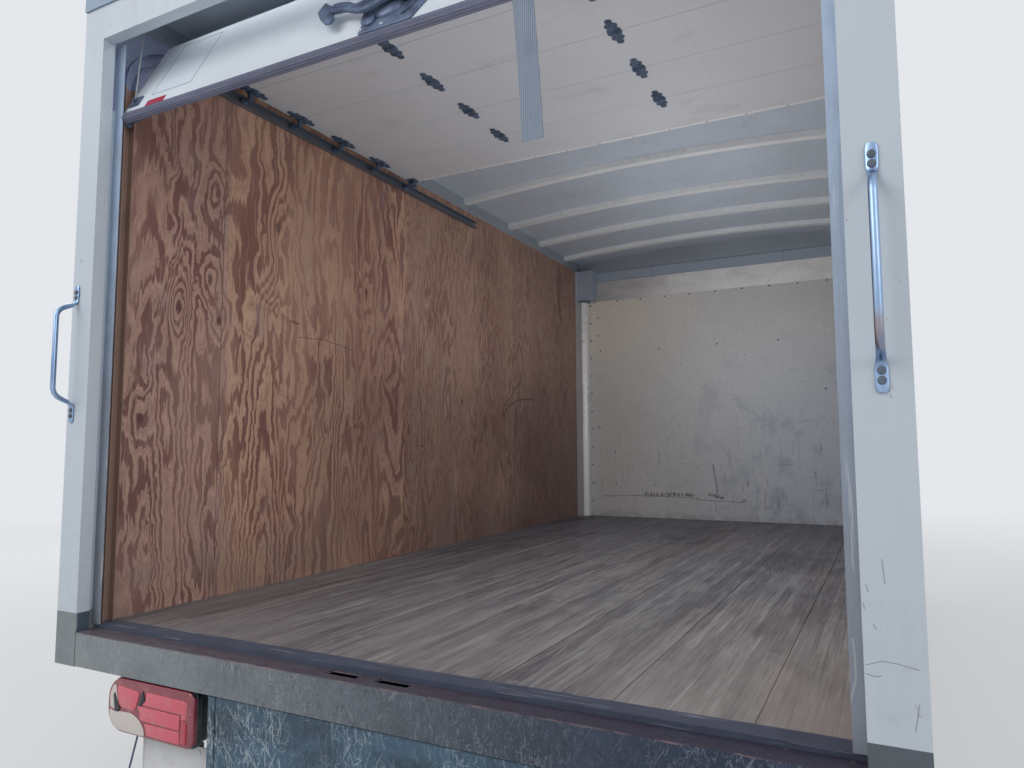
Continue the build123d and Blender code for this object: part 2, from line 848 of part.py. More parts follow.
def pull_strap():
    """Webbing strap clamped to the bottom panel, hanging past its seal and leaning to one side."""
    near = -seal_proud - contact_clearance
    far = near - strap_thickness
    x_span = (strap_top_x, strap_top_x + strap_width)
    tab = leaning_slab((-seal_height - strap_past_seal, strap_tab), (far, near), x_span)
    clamp = leaning_slab((strap_tab / 3, strap_tab * 2 / 3), (near, 0), x_span)
    bend_y, bend_z = on_bottom_panel(-seal_height - strap_past_seal, far)
    outline = (
        (strap_top_x, bend_z),
        (strap_top_x + strap_width, bend_z),
        (strap_top_x + strap_lean + strap_width, bend_z - strap_drop),
        (strap_top_x + strap_lean, bend_z - strap_drop),
    )
    face = Plane.XZ * make_face(Polyline(*outline, close=True))
    hanging = Pos(0, from_rear(bend_y) + strap_thickness, 0) * extrude(face, amount=strap_thickness)
    return tab + clamp + hanging


def grab_handle(bar_x, low_z, length):
    """Bent round bar with a flattened pad at each end, bolted to a post's face."""
    high_z = low_z + length
    bar_low = low_z + handle_pad_length
    bar_high = high_z - handle_pad_length
    out_y = rear_y - handle_standoff
    points = (
        (bar_x, rear_y, bar_low),
        (bar_x, out_y, bar_low),
        (bar_x, out_y, bar_high),
        (bar_x, rear_y, bar_high),
    )
    path = FilletPolyline(*points, radius=handle_bend)
    handle = sweep(Plane(origin=points[0], z_dir=(0, -1, 0)) * Circle(handle_radius), path=path)
    for z_span in ((low_z, bar_low + handle_radius), (bar_high - handle_radius, high_z)):
        x_span = (bar_x - handle_pad_width / 2, bar_x + handle_pad_width / 2)
        handle += block(x_span, (rear_y - handle_pad_thickness, rear_y), z_span)
    for from_end in (handle_bolt_edge, handle_bolt_edge + handle_bolt_pitch):
        for z in (low_z + from_end, high_z - from_end):
            hole = Cylinder(handle_bolt_radius, 4 * handle_pad_thickness)
            handle -= Pos(bar_x, rear_y, z) * Rot(90, 0, 0) * hole
    return handle


def grab_handles():
    """The left handle and the right one, which sits a little higher and farther in."""
    left_low = floor_top + left_handle_over_floor
    right_low = floor_top + right_handle_over_floor
    left = grab_handle(left_handle_inset - side_x, left_low, left_handle_length)
    right = grab_handle(side_x - right_handle_inset, right_low, right_handle_length)
    return [left, right]


def lamp_outline(shrink):
    """Right lamp's outline: nearly square at the inner end, rounded at the outer end."""
    middle_x = (lamp_outer_x + lamp_inner_x) / 2
    middle_z = lamp_top - lamp_height / 2
    face = Rectangle(lamp_width - 2 * shrink, lamp_height - 2 * shrink)
    outer_corners = face.vertices().group_by(Axis.X)[-1]
    face = fillet(outer_corners, lamp_outer_radius - shrink)
    inner_corners = face.vertices().group_by(Axis.X)[0]
    face = fillet(inner_corners, lamp_inner_radius - shrink)
    return Pos(middle_x, 0, middle_z) * (Plane.XZ * face)


def lamp_housings():
    """Lamp bodies, each with a bracket up to the sill."""
    body = extrude(lamp_outline(0), amount=lamp_body_depth)
    body = Pos(0, lamp_back_y + lamp_body_depth, 0) * body
    bracket_x = lamp_inner_x + lamp_bracket_inset
    bracket_y = lamp_back_y + lamp_bracket_setback
    bracket = block(
        (bracket_x, bracket_x + lamp_bracket_width),
        (bracket_y, bracket_y + lamp_bracket_wall),
        (lamp_top - lamp_bracket_height, sill_bottom),
    )
    return on_both_sides(body + bracket)


def lamp_lenses():
    """Lenses on the lamp bodies."""
    lens = extrude(lamp_outline(lens_rim), amount=lamp_lens_depth)
    return on_both_sides(Pos(0, lamp_back_y, 0) * lens)


def step_panel():
    """Folded steel panel under the sill, with returns all round."""
    x_span = (-step_half_width, step_half_width)
    z_span = (step_top - step_height, step_top)
    y_span = (step_face_y, step_face_y + step_depth)
    pan = block(x_span, y_span, z_span)
    hollow = block(
        (x_span[0] + step_wall, x_span[1] - step_wall),
        (y_span[0] + step_wall, y_span[1] + cut_margin),
        (z_span[0] + step_wall, z_span[1] - step_wall),
    )
    return pan - hollow


def step_brackets():
    """Plates from the long sills down to the step panel."""
    x_span = (long_sill_x, long_sill_x + step_bracket_wall)
    panel_back = step_face_y + step_wall
    sill_end = from_rear(long_sill_rear_gap)
    points = (
        (x_span[0], panel_back, step_top - step_height + 2 * step_wall),
        (x_span[0], panel_back, step_top - 2 * step_wall),
        (x_span[0], sill_end + step_bracket_length, step_top - 2 * step_wall),
        (x_span[0], sill_end + step_bracket_length, long_sill_wall),
        (x_span[0], panel_back + step_depth, step_top - step_height + 2 * step_wall),
    )
    face = make_face(Polyline(*points, close=True))
    return on_both_sides(extrude(face, amount=step_bracket_wall, dir=(1, 0, 0)))


def licence_plate():
    """Blank plate below the left lamp."""
    x_span = (plate_x - plate_width / 2, plate_x + plate_width / 2)
    y = from_rear(plate_from_rear)
    return block(x_span, (y, y + plate_thickness), (plate_top - plate_height, plate_top))


def plate_bracket():
    """Hanger that holds the plate from the lamp body's underside."""
    x_span = (plate_x - plate_hanger_width / 2, plate_x + plate_hanger_width / 2)
    y = from_rear(plate_from_rear) + plate_thickness
    z_span = (plate_top - plate_height + plate_hanger_up, lamp_top - lamp_height)
    return block(x_span, (y, y + plate_hanger_wall), z_span)


def marker_lamps():
    """Small clearance lamps, five on the rear cap and two on the front cap."""
    rear_places = [rear_marker_pitch * number for number in (-1, 0, 1)]
    rear_places += [rear_marker_inset - side_x, side_x - rear_marker_inset]
    front_places = [front_marker_inset - side_x, side_x - front_marker_inset]
    rear_face = rear_y - cap_proud
    rear_low = header_top + rear_marker_over_header - marker_height / 2
    front_low = rail_top_edge + front_marker_over_lining
    # Columns: places across the box, depth span, lowest height
    rows = (
        (rear_places, (rear_face - marker_depth, rear_face), rear_low),
        (front_places, (front_y, front_y + marker_depth), front_low),
    )
    lamps = []
    for places, y_span, low in rows:
        for x in places:
            x_span = (x - marker_width / 2, x + marker_width / 2)
            lamps.append(block(x_span, y_span, (low, low + marker_height)))
    return lamps


def main():
    sheets = wall_lining()
    panels = door_panels()
    save("long_sills", long_sills())
    save("cross_members", cross_members())
    save("chassis_brackets", chassis_brackets())
    save("floor_boards", floor_boards())
    save("rear_sill", rear_sill())
    save("threshold_bar", threshold_bar())
    save("rear_posts", on_both_sides(rear_post()))
    save("post_bases", on_both_sides(post_base()))
    save("rear_header", rear_header())
    save("rear_cap", rear_cap())
    save("base_rails", base_rails())
    save("top_rails", top_rails())
    save("side_walls", on_both_sides(side_wall()))
    save("linings", sheets + [mirror(sheet, about=Plane.YZ) for sheet in sheets])
    save("front_wall", front_wall())
    save("front_lining", front_lining())
    save("front_band", front_band())
    save("front_corner_posts", front_corner_posts())
    save("front_inner_posts", front_inner_posts())
    save("roof_skin", roof_skin())
    save("roof_bows", roof_bows())
    save("front_cap", front_cap())
    save("door_bottom_panel", panels[0])
    for number, panel in enumerate(panels[1:], start=2):
        save(f"door_panel_{number}", panel)
    save("door_seal", door_seal())
    save("door_hinges", door_hinges())
    save("door_rollers", door_rollers())
    save("vertical_tracks", vertical_tracks())
    save("bent_tracks", bent_tracks())
    save("overhead_tracks", overhead_tracks())
    save("door_stops", door_stops())
    save("counterbalance", counterbalance())
    save("cable_brackets", cable_brackets())
    save("lift_cables", lift_cables())
    save("latch_plate", latch_plate())
    save("latch_lever", latch_lever())
    save("pull_strap", pull_strap())
    save("grab_handles", grab_handles())
    save("lamp_housings", lamp_housings())
    save("lamp_lenses", lamp_lenses())
    save("step_panel", step_panel())
    save("step_brackets", step_brackets())
    save("licence_plate", licence_plate())
    save("plate_bracket", plate_bracket())
    save("marker_lamps", marker_lamps())


main()
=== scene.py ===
"""Truck cargo box body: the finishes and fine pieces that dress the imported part, and the stage under it."""
import json
import math
import random
from functools import reduce

import bmesh
import bpy
from mathutils import Matrix, Vector

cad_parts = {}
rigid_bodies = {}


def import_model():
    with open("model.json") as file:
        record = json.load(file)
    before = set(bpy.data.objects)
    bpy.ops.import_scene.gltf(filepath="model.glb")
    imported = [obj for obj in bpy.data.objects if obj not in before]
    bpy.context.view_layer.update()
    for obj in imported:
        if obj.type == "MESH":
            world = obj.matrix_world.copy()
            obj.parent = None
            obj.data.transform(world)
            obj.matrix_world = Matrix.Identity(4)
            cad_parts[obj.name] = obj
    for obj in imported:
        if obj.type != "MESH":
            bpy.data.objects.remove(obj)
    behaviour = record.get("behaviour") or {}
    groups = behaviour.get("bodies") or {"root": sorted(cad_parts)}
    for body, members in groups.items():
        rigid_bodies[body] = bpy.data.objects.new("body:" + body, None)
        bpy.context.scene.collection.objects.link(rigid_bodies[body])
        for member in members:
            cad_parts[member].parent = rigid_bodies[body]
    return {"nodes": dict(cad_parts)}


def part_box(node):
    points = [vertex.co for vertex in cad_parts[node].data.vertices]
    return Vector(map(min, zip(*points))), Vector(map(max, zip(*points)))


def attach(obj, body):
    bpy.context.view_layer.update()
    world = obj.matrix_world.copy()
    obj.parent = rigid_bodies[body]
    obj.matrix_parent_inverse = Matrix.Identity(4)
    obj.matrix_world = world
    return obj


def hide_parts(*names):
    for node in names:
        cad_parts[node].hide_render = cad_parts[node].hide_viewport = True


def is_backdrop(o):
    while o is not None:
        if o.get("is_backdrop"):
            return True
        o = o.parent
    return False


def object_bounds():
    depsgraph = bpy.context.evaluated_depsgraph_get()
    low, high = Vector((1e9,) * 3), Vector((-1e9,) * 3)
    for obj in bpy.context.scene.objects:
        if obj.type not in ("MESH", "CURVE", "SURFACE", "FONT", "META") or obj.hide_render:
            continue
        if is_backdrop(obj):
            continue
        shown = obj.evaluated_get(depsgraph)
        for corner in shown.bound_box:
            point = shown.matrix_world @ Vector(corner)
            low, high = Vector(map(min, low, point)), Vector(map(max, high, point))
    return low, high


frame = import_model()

bl_info = {
    "name": "Cargo Box Body",
    "version": (1, 0, 0),
    "blender": (4, 5, 0),
    "location": "View3D > Sidebar > Cargo Box",
    "description": "Dresses a truck cargo box body: wood, paint, door fittings, lamps and the stage",
    "category": "Object",
}

MM = 0.001
LIGHTEST = 1.0

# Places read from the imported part
REAR_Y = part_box("rear_posts")[0].y
OVERHEAD_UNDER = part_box("door_panel_2")[0].z
FLOOR_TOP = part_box("floor_boards")[1].z
SILL_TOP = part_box("rear_sill")[1].z
WALL_LOW, WALL_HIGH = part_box("side_walls")
PANEL_LOW, PANEL_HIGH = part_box("front_lining")
BAND_LOW, BAND_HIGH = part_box("front_band")
STEP_LOW, STEP_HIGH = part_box("step_panel")
PLATE_LOW, PLATE_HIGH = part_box("licence_plate")
LENS_LOW, LENS_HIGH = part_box("lamp_lenses")

# Places on the box, in metres: the posts' inner faces, the first sheet joint of the lining and the width of
# its sheets, the sheet joints of the roof, and the height from which marks on the walls were measured
POST_INNER = 1.119
SHEET_START, SHEET_PITCH = REAR_Y + 0.536, 1.219
ROOF_ROWS = [REAR_Y + rear for rear in (0.6, 1.2, 1.8, 2.4, 3.0, 3.5, 3.989)]
MARKS_FROM = 0.236

# The raised door, in millimetres: its joints and last rollers forward of the rear face, its hinges to each
# side, and how far the rollers' line lies under the panels
JOINTS = (599, 879, 1159, 1439)
LAST_ROLLER = 1727
EDGE_HINGE, INNER_HINGE = 1072, 380
ROLLER_DROP = 35

# The camera, and its lens in millimetres
CAMERA_PLACE = (1.178, -3.645, 0.748)
CAMERA_HEADING, CAMERA_PITCH, CAMERA_ROLL = 27.35, 95.03, -0.205
CAMERA_LENS, CAMERA_SENSOR = 25.65, 36.0


def screen(red, green, blue):
    """A colour as a screen shows it, made linear."""
    shares = [value / 255 for value in (red, green, blue)]
    return tuple(s / 12.92 if s <= 0.04045 else ((s + 0.055) / 1.055) ** 2.4 for s in shares)


def at(x, rear, z):
    """A place from millimetres: to the right, forward of the rear face, and up."""
    return Vector((x * MM, REAR_Y + rear * MM, z * MM))


def colour_choice(name, description, default):
    """A colour that the sidebar offers."""
    return bpy.props.FloatVectorProperty(
        name=name, description=description, subtype="COLOR", size=3, min=0.0, max=1.0, default=default)


def length_choice(name, description, default):
    """A length that the sidebar offers."""
    return bpy.props.FloatProperty(
        name=name, description=description, unit="LENGTH", min=0.0, precision=4, default=default)


class CargoPaints(bpy.types.PropertyGroup):
    """Colours of the painted and bare metal."""

    body: colour_choice("Body paint", "White paint of posts, header and walls", screen(200, 211, 222))
    base: colour_choice("Base paint", "Paint under the door, at the left", screen(130, 138, 143))
    base_dark: colour_choice("Base paint, dark", "Paint under the door, at the right", screen(30, 46, 70))
    step: colour_choice("Step paint", "Navy paint of the step panel", screen(58, 82, 102))
    frame: colour_choice("Frame paint", "Black paint of the underframe", screen(50, 51, 54))
    door_out: colour_choice("Door outside", "Outer side of the door", screen(220, 229, 238))
    door_in: colour_choice("Door inside", "Inner side of the door", screen(207, 210, 216))
    aluminium: colour_choice("Mill aluminium", "Rails, caps and corners", screen(176, 184, 192))
    zinc: colour_choice("Zinc", "Tracks and inner posts", screen(138, 148, 162))
    bow: colour_choice("Roof bow", "Bows under the roof", screen(236, 238, 240))
    cap: colour_choice("Rear cap", "Crowned end over the header", screen(140, 157, 176))
    sheet: colour_choice("Front sheet", "Inner side of the front sheet", screen(166, 177, 192))
    roof: colour_choice("Roof sheet", "Roof skin", screen(196, 206, 218))
    hardware: colour_choice("Hardware", "Hinges, rollers and springs", screen(88, 104, 128))
    latch: colour_choice("Latch steel", "Latch plate and lever", screen(94, 108, 134))
    rubber: colour_choice("Rubber", "Seal at the door's lower edge", screen(112, 118, 146))


class CargoWoods(bpy.types.PropertyGroup):
    """Colours of the wood and of the front panel."""

    ply_light: colour_choice("Plywood light", "Early wood of the lining", screen(192, 158, 136))
    ply_dark: colour_choice("Plywood dark", "Late wood of the lining", screen(128, 88, 80))
    floor_light: colour_choice("Floor light", "Light floor strips", screen(142, 140, 142))
    floor_dark: colour_choice("Floor dark", "Dark floor strips", screen(96, 94, 99))
    panel: colour_choice("Front panel", "Scuffed white panel", screen(212, 210, 206))


class CargoFittings(bpy.types.PropertyGroup):
    """Sizes of the fittings."""

    hinge_wall: length_choice("Hinge sheet", "Thickness of a hinge leaf", 3.4 * MM)
    rivet_radius: length_choice("Rivet", "Radius of a wall rivet's head", 5 * MM)
    rivet_height: length_choice("Rivet height", "Height of a wall rivet's head", 2.6 * MM)
    rivet_pitch: length_choice("Rivet pitch", "Distance between wall rivets", 80 * MM)
    screw_radius: length_choice("Screw", "Radius of a panel screw's head", 7.0 * MM)
    strap_width: length_choice("Strap width", "Width of the pull strap", 56 * MM)
    strap_wall: length_choice("Strap thickness", "Thickness of the pull strap", 2.6 * MM)
    handle_radius: length_choice("Handle bar", "Radius of a grab handle's bar", 8 * MM)
    seal_rib: length_choice("Seal rib", "Depth of the seal's ribs", 2.0 * MM)


class CargoStage(bpy.types.PropertyGroup):
    """The floor, the lamps and the pale background."""

    floor_drop: length_choice("Floor drop", "How far the stage floor lies under the box", 45 * MM)
    floor_colour: colour_choice("Stage floor", "Colour of the stage floor", screen(208, 208, 206))
    background: colour_choice("Background", "Colour seen behind the box", screen(228, 231, 235))
    world: bpy.props.FloatProperty(name="World", description="Strength of the soft light all round",
                                   default=0.34)
    key: bpy.props.FloatProperty(name="Key", description="Power of the large lamp behind the camera",
                                 default=250.0, unit="POWER")
    fill: bpy.props.FloatProperty(name="Fill", description="Power of the lamps at the other sides",
                                  default=220.0, unit="POWER")
    hold: bpy.props.FloatProperty(name="Hold", description="Power of each soft lamp in the hold",
                                  default=14.0, unit="POWER")


# The leaning bottom panel: how far its foot lies from the rear face and its thickness, both in millimetres,
# and the ways up it and out of it
FOOT_REAR, PANEL_WALL = 68, 20
PANEL_FOOT = at(0, FOOT_REAR, 1888)
PANEL_UP = Vector((0, 163, 314)).normalized()
PANEL_OUT = Vector((0, -PANEL_UP.z, PANEL_UP.y))
ACROSS = Vector((1, 0, 0))
UP = Vector((0, 0, 1))
BACK = Vector((0, -1, 0))


def on_panel(x, up, out):
    """A place on the leaning panel, in millimetres."""
    return PANEL_FOOT + ACROSS * x * MM + PANEL_UP * up * MM + PANEL_OUT * out * MM


# Ways to make a mesh

def pick(*pieces):
    """Only these objects are selected, the first one active."""
    if bpy.context.mode != "OBJECT":
        bpy.ops.object.mode_set(mode="OBJECT")
    bpy.ops.object.select_all(action="DESELECT")
    for piece in pieces:
        piece.select_set(True)
    if pieces:
        bpy.context.view_layer.objects.active = pieces[0]


def named(piece, name):
    """The object and its mesh take one name."""
    piece.name = piece.data.name = name
    return piece


def loft(name, rings):
    """A filled ring of corners, extruded from ring to ring and closed at both ends."""
    pick()
    bpy.ops.mesh.primitive_circle_add(vertices=len(rings[0]), radius=1, fill_type="NGON")
    piece = named(bpy.context.object, name)
    bpy.ops.object.mode_set(mode="EDIT")
    bpy.ops.mesh.select_all(action="SELECT")
    mesh = bmesh.from_edit_mesh(piece.data)
    corner = mesh.verts.layers.int.new("corner")
    for number, vertex in enumerate(mesh.verts):
        vertex[corner] = number
        vertex.co = rings[0][number]
    bmesh.update_edit_mesh(piece.data)
    for ring in rings[1:]:
        bpy.ops.mesh.extrude_region()
        mesh = bmesh.from_edit_mesh(piece.data)
        corner = mesh.verts.layers.int["corner"]
        for vertex in mesh.verts:
            if vertex.select:
                vertex.co = ring[vertex[corner]]
        bmesh.update_edit_mesh(piece.data)
    bpy.ops.mesh.select_all(action="SELECT")
    bpy.ops.mesh.normals_make_consistent(inside=False)
    bpy.ops.object.mode_set(mode="OBJECT")
    piece.data.attributes.remove(piece.data.attributes["corner"])
    return piece


def box(name, low, high, edge=0.0, segments=2):
    """A cube primitive at its size and place, its edges bevelled."""
    pick()
    low, high = Vector(low), Vector(high)
    bpy.ops.mesh.primitive_cube_add(size=1, location=(low + high) / 2)
    piece = named(bpy.context.object, name)
    bpy.ops.object.mode_set(mode="EDIT")
    bpy.ops.mesh.select_all(action="SELECT")
    bpy.ops.transform.resize(value=high - low, center_override=(low + high) / 2)
    if edge:
        bpy.ops.mesh.bevel(offset=edge, segments=segments, affect="EDGES")
    bpy.ops.object.mode_set(mode="OBJECT")
    bpy.ops.object.transform_apply(location=True, rotation=True, scale=True)
    return piece


def soften(piece, width, segments=2, limit=35):
    """Rounds the piece's sharp edges."""
    pick(piece)
    bpy.ops.object.modifier_add(type="BEVEL")
    bevel = piece.modifiers[-1]
    bevel.width, bevel.segments = width, segments
    bevel.limit_method, bevel.angle_limit = "ANGLE", math.radians(limit)
    bpy.ops.object.modifier_apply(modifier=bevel.name)
    return piece


def circle(centre, across, up, sides):
    """Corners of an ellipse with these two half axes."""
    turns = [2 * math.pi * number / sides for number in range(sides)]
    return [Vector(centre) + across * math.cos(turn) + up * math.sin(turn) for turn in turns]


def rounded(corners, radius, steps=4):
    """A polygon's outline with its corners rounded, all in one plane."""
    points = []
    for number, corner in enumerate(corners):
        before = (corners[number - 1] - corner)
        after = (corners[(number + 1) % len(corners)] - corner)
        reach = min(radius, before.length / 2.01, after.length / 2.01)
        start, end = corner + before.normalized() * reach, corner + after.normalized() * reach
        for step in range(steps + 1):
            share = step / steps
            points.append(start * (1 - share) ** 2 + corner * 2 * share * (1 - share) + end * share ** 2)
    return points


def flat_outline(corners, radius, steps):
    """A flat outline with its corners rounded, as pairs of numbers."""
    return [(point.x, point.y) for point in rounded([Vector((x, up, 0)) for x, up in corners], radius, steps)]


def disc(name, radius, height, sides=12, dome=0.55):
    """A low domed head that stands up from the origin."""
    levels = [(1.0, 0.0), (1.0, 0.25), (0.86, 0.25 + dome), (0.45, 1.0)]
    side, back = Vector((1, 0, 0)), Vector((0, 1, 0))
    rings = [circle((0, 0, height * level), side * radius * share, back * radius * share, sides)
             for share, level in levels]
    return loft(name, rings)


def facing(place, direction, turn=0.0):
    """A move from the origin's +Z to this place and direction."""
    way = Vector(direction).normalized().to_track_quat("Z", "Y").to_matrix().to_4x4()
    return Matrix.Translation(place) @ way @ Matrix.Rotation(turn, 4, "Z")


def twin(piece, name, move):
    """A copy with its own mesh, moved or mirrored."""
    copy = piece.copy()
    copy.data = piece.data.copy()
    bpy.context.scene.collection.objects.link(copy)
    copy.data.transform(move)
    if move.determinant() < 0:
        copy.data.flip_normals()
    return named(copy, name)


def join(name, pieces):
    """Several meshes as one piece."""
    pick(*pieces)
    if len(pieces) > 1:
        bpy.ops.object.join()
    return named(bpy.context.view_layer.objects.active, name)


def spread(name, model, moves):
    """One modelled shape copied to each place, as one piece."""
    copies = [twin(model, f"{name}_{number}", move) for number, move in enumerate(moves)]
    bpy.data.objects.remove(model)
    return join(name, copies)


def both_sides(name, pieces):
    """The right-hand pieces and their mirror images, as one piece."""
    mirror = Matrix.Scale(-1, 4, (1, 0, 0))
    right = join(name, pieces)
    left = twin(right, f"{name}_left", mirror)
    return join(name, [right, left])


def fit(piece, finish, slot, *nodes, angle=35):
    """The piece rides on the box in its finish, and stands for these CAD nodes."""
    piece.data.materials.clear()
    piece.data.materials.append(FINISHES[finish])
    pick(piece)
    bpy.ops.object.shade_smooth_by_angle(angle=math.radians(angle))
    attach(piece, "root")
    if nodes:
        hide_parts(*nodes)
    return piece


def dress(finish, *nodes):
    """These CAD nodes take a finish."""
    for name in nodes:
        node = frame["nodes"][name]
        if not node.material_slots:
            node.data.materials.append(finish)
        for slot in node.material_slots:
            slot.material = finish


# Materials

class Value:
    """An output of a finish's node, with which sums are written as sums."""

    def __init__(self, finish, socket):
        self.finish, self.socket = finish, socket

    def __add__(self, other):
        return self.finish.maths("ADD", self, other)

    def __radd__(self, other):
        return self.finish.maths("ADD", other, self)

    def __sub__(self, other):
        return self.finish.maths("SUBTRACT", self, other)

    def __rsub__(self, other):
        return self.finish.maths("SUBTRACT", other, self)

    def __mul__(self, other):
        return self.finish.maths("MULTIPLY", self, other)

    def __truediv__(self, other):
        return self.finish.maths("DIVIDE", self, other)

    def __floordiv__(self, other):
        return self.finish.maths("FLOOR", self if other == 1 else self / other)

    def __mod__(self, whole):
        assert whole == 1, "only the fraction is made"
        return self.finish.maths("FRACT", self)

    def __abs__(self):
        return self.finish.maths("ABSOLUTE", self)

    def sine(self):
        """The sine of an angle in radians."""
        return self.finish.maths("SINE", self)

    def span(self, low, high, start=0.0, end=1.0):
        """A smooth step between two values."""
        inputs = {"Value": self, "From Min": low, "From Max": high, "To Min": start, "To Max": end}
        return self.finish.made("ShaderNodeMapRange", inputs, interpolation_type="SMOOTHSTEP")


class Finish:
    """A procedural material on Object coordinates, built node by node."""

    def __init__(self, name, roughness=0.5, metallic=0.0, **sockets):
        self.material = bpy.data.materials.new(name)
        self.material.use_nodes = True
        self.nodes = self.material.node_tree.nodes
        self.shader = self.nodes["Principled BSDF"]
        self.set(Roughness=roughness, Metallic=metallic)
        self.set(**{key.replace("_", " "): value for key, value in sockets.items()})
        self.place = self.made("ShaderNodeTexCoord", key="Object")
        axes = self.add("ShaderNodeSeparateXYZ", {"Vector": self.place})
        self.x, self.y, self.z = (Value(self, socket) for socket in axes.outputs)
        self.tone = None

    def feed(self, socket, value):
        """Links a socket or sets its value."""
        if isinstance(value, Value):
            value = value.socket
        if isinstance(value, bpy.types.NodeSocket):
            self.material.node_tree.links.new(value, socket)
        elif socket.type == "RGBA":
            socket.default_value = (*value, 1.0)
        else:
            socket.default_value = value

    def set(self, **sockets):
        """Sets or links the shader's own sockets."""
        for key, value in sockets.items():
            self.feed(self.shader.inputs[key.replace("_", " ")], value)

    def done(self, **sockets):
        """The finished material, with its colour and these sockets."""
        self.set(Base_Color=self.tone, **sockets)
        return self.material

    def add(self, kind, inputs=None, **settings):
        """A node with its settings and inputs."""
        node = self.nodes.new(kind)
        for key, value in settings.items():
            setattr(node, key, value)
        for key, value in (inputs or {}).items():
            self.feed(node.inputs[key], value)
        return node

    def made(self, kind, inputs=None, key=0, **settings):
        """One output of a new node."""
        return Value(self, self.add(kind, inputs, **settings).outputs[key])

    def mapped(self, stretch=(1, 1, 1), shift=(0, 0, 0), turn=(0, 0, 0), of=None):
        """Coordinates stretched, turned and shifted."""
        inputs = {"Vector": of or self.place, "Location": shift, "Rotation": turn, "Scale": stretch}
        return self.made("ShaderNodeMapping", inputs)

    def noise(self, scale, stretch=(1, 1, 1), detail=3.0, roughness=0.5, distortion=0.0, shift=(0, 0, 0),
              of=None):
        """Soft noise, from 0 to 1."""
        inputs = {"Vector": self.mapped(stretch, shift, of=of), "Scale": scale, "Detail": detail,
                  "Roughness": roughness, "Distortion": distortion}
        return self.made("ShaderNodeTexNoise", inputs)

    def cells(self, scale, stretch=(1, 1, 1), feature="F1", output="Distance", of=None, turn=(0, 0, 0)):
        """Cell pattern."""
        inputs = {"Vector": self.mapped(stretch, of=of, turn=turn), "Scale": scale}
        return self.made("ShaderNodeTexVoronoi", inputs, output, feature=feature)

    def maths(self, operation, *values):
        """One sum."""
        return self.made("ShaderNodeMath", dict(enumerate(values)), operation=operation)

    def vector(self, operation, *values, output=0):
        """One vector sum."""
        return self.made("ShaderNodeVectorMath", dict(enumerate(values)), output, operation=operation)

    def length(self, way):
        """The length of a vector."""
        return self.vector("LENGTH", way, output="Value")

    def joined(self, x=0.0, y=0.0, z=0.0):
        """Three values as coordinates."""
        return self.made("ShaderNodeCombineXYZ", {"X": x, "Y": y, "Z": z})

    def ramp(self, value, *stops, step=False):
        """Colours along a value."""
        node = self.add("ShaderNodeValToRGB", {"Fac": value})
        elements = node.color_ramp.elements
        if step:
            node.color_ramp.interpolation = "CONSTANT"
        elements.remove(elements[1])
        elements[0].position, elements[0].color = stops[0][0], (*stops[0][1], 1.0)
        for place, colour in stops[1:]:
            elements.new(place).color = (*colour, 1.0)
        return Value(self, node.outputs[0])

    def mix(self, share, first, second, how="MIX"):
        """Two colours mixed by a share."""
        inputs = {0: share, 6: first, 7: second}
        return self.made("ShaderNodeMix", inputs, 2, data_type="RGBA", blend_type=how)

    def lay(self, share, colour, how="MIX"):
        """Lays one more colour over the tone, by a share."""
        self.tone = self.mix(share, self.tone, colour, how)

    def bump(self, height, distance, strength=1.0):
        """Relief from a height."""
        return self.made("ShaderNodeBump", {"Height": height, "Distance": distance, "Strength": strength})

    def near_axis(self, value, place, half, soft):
        """1 close to a place along one axis, 0 away from it."""
        return abs(value - place).span(half, half + soft, 1.0, 0.0)

    def stroke(self, points, half, soft, flat=(1, 0, 1)):
        """1 along a drawn line seen square to one axis, 0 away from it."""
        seen = self.vector("MULTIPLY", self.place, flat)
        distances = []
        for start, end in zip(points, points[1:]):
            start, way = Vector(start), Vector(end) - Vector(start)
            offset = self.vector("SUBTRACT", seen, start)
            share = self.vector("DOT_PRODUCT", offset, way / way.length_squared, output="Value")
            share = self.made("ShaderNodeClamp", {"Value": share})
            distances.append(self.length(self.vector("MULTIPLY_ADD", share, -way, offset)))
        return self.least(*distances).span(half, half + soft, 1.0, 0.0)

    def scratches(self, stretch, scale=30.0, turn=(0, 0, 0), amount=0.66):
        """Thin broken lines along the stretched axis, as a share."""
        lines = self.noise(scale, stretch, detail=2.0, roughness=0.6, of=self.mapped(turn=turn))
        return lines.span(amount, amount + 0.035)

    def hairs(self, scale, stretch, turn=0.0, width=0.07):
        """A web of fine broken lines, as a share."""
        drift = self.made("ShaderNodeTexNoise", {"Vector": self.place, "Scale": 24.0, "Detail": 2.0}, "Color")
        where = self.vector("MULTIPLY_ADD", drift, (0.035, 0.035, 0.035), self.place)
        edge = self.cells(scale, stretch, "DISTANCE_TO_EDGE", of=self.mapped(turn=(0, turn, 0), of=where))
        broken = self.noise(scale * 0.8, (1, 1, 0.4), detail=2.0).span(0.47, 0.56)
        return edge.span(width * 0.35, width, 1.0, 0.0) * broken

    def most(self, *values):
        """The largest of several values."""
        return reduce(lambda first, second: self.maths("MAXIMUM", first, second), values)

    def least(self, *values):
        """The smallest of several values."""
        return reduce(lambda first, second: self.maths("MINIMUM", first, second), values)


def dull(colour, share):
    """A colour made darker or lighter."""
    return tuple(min(1.0, value * share) for value in colour)


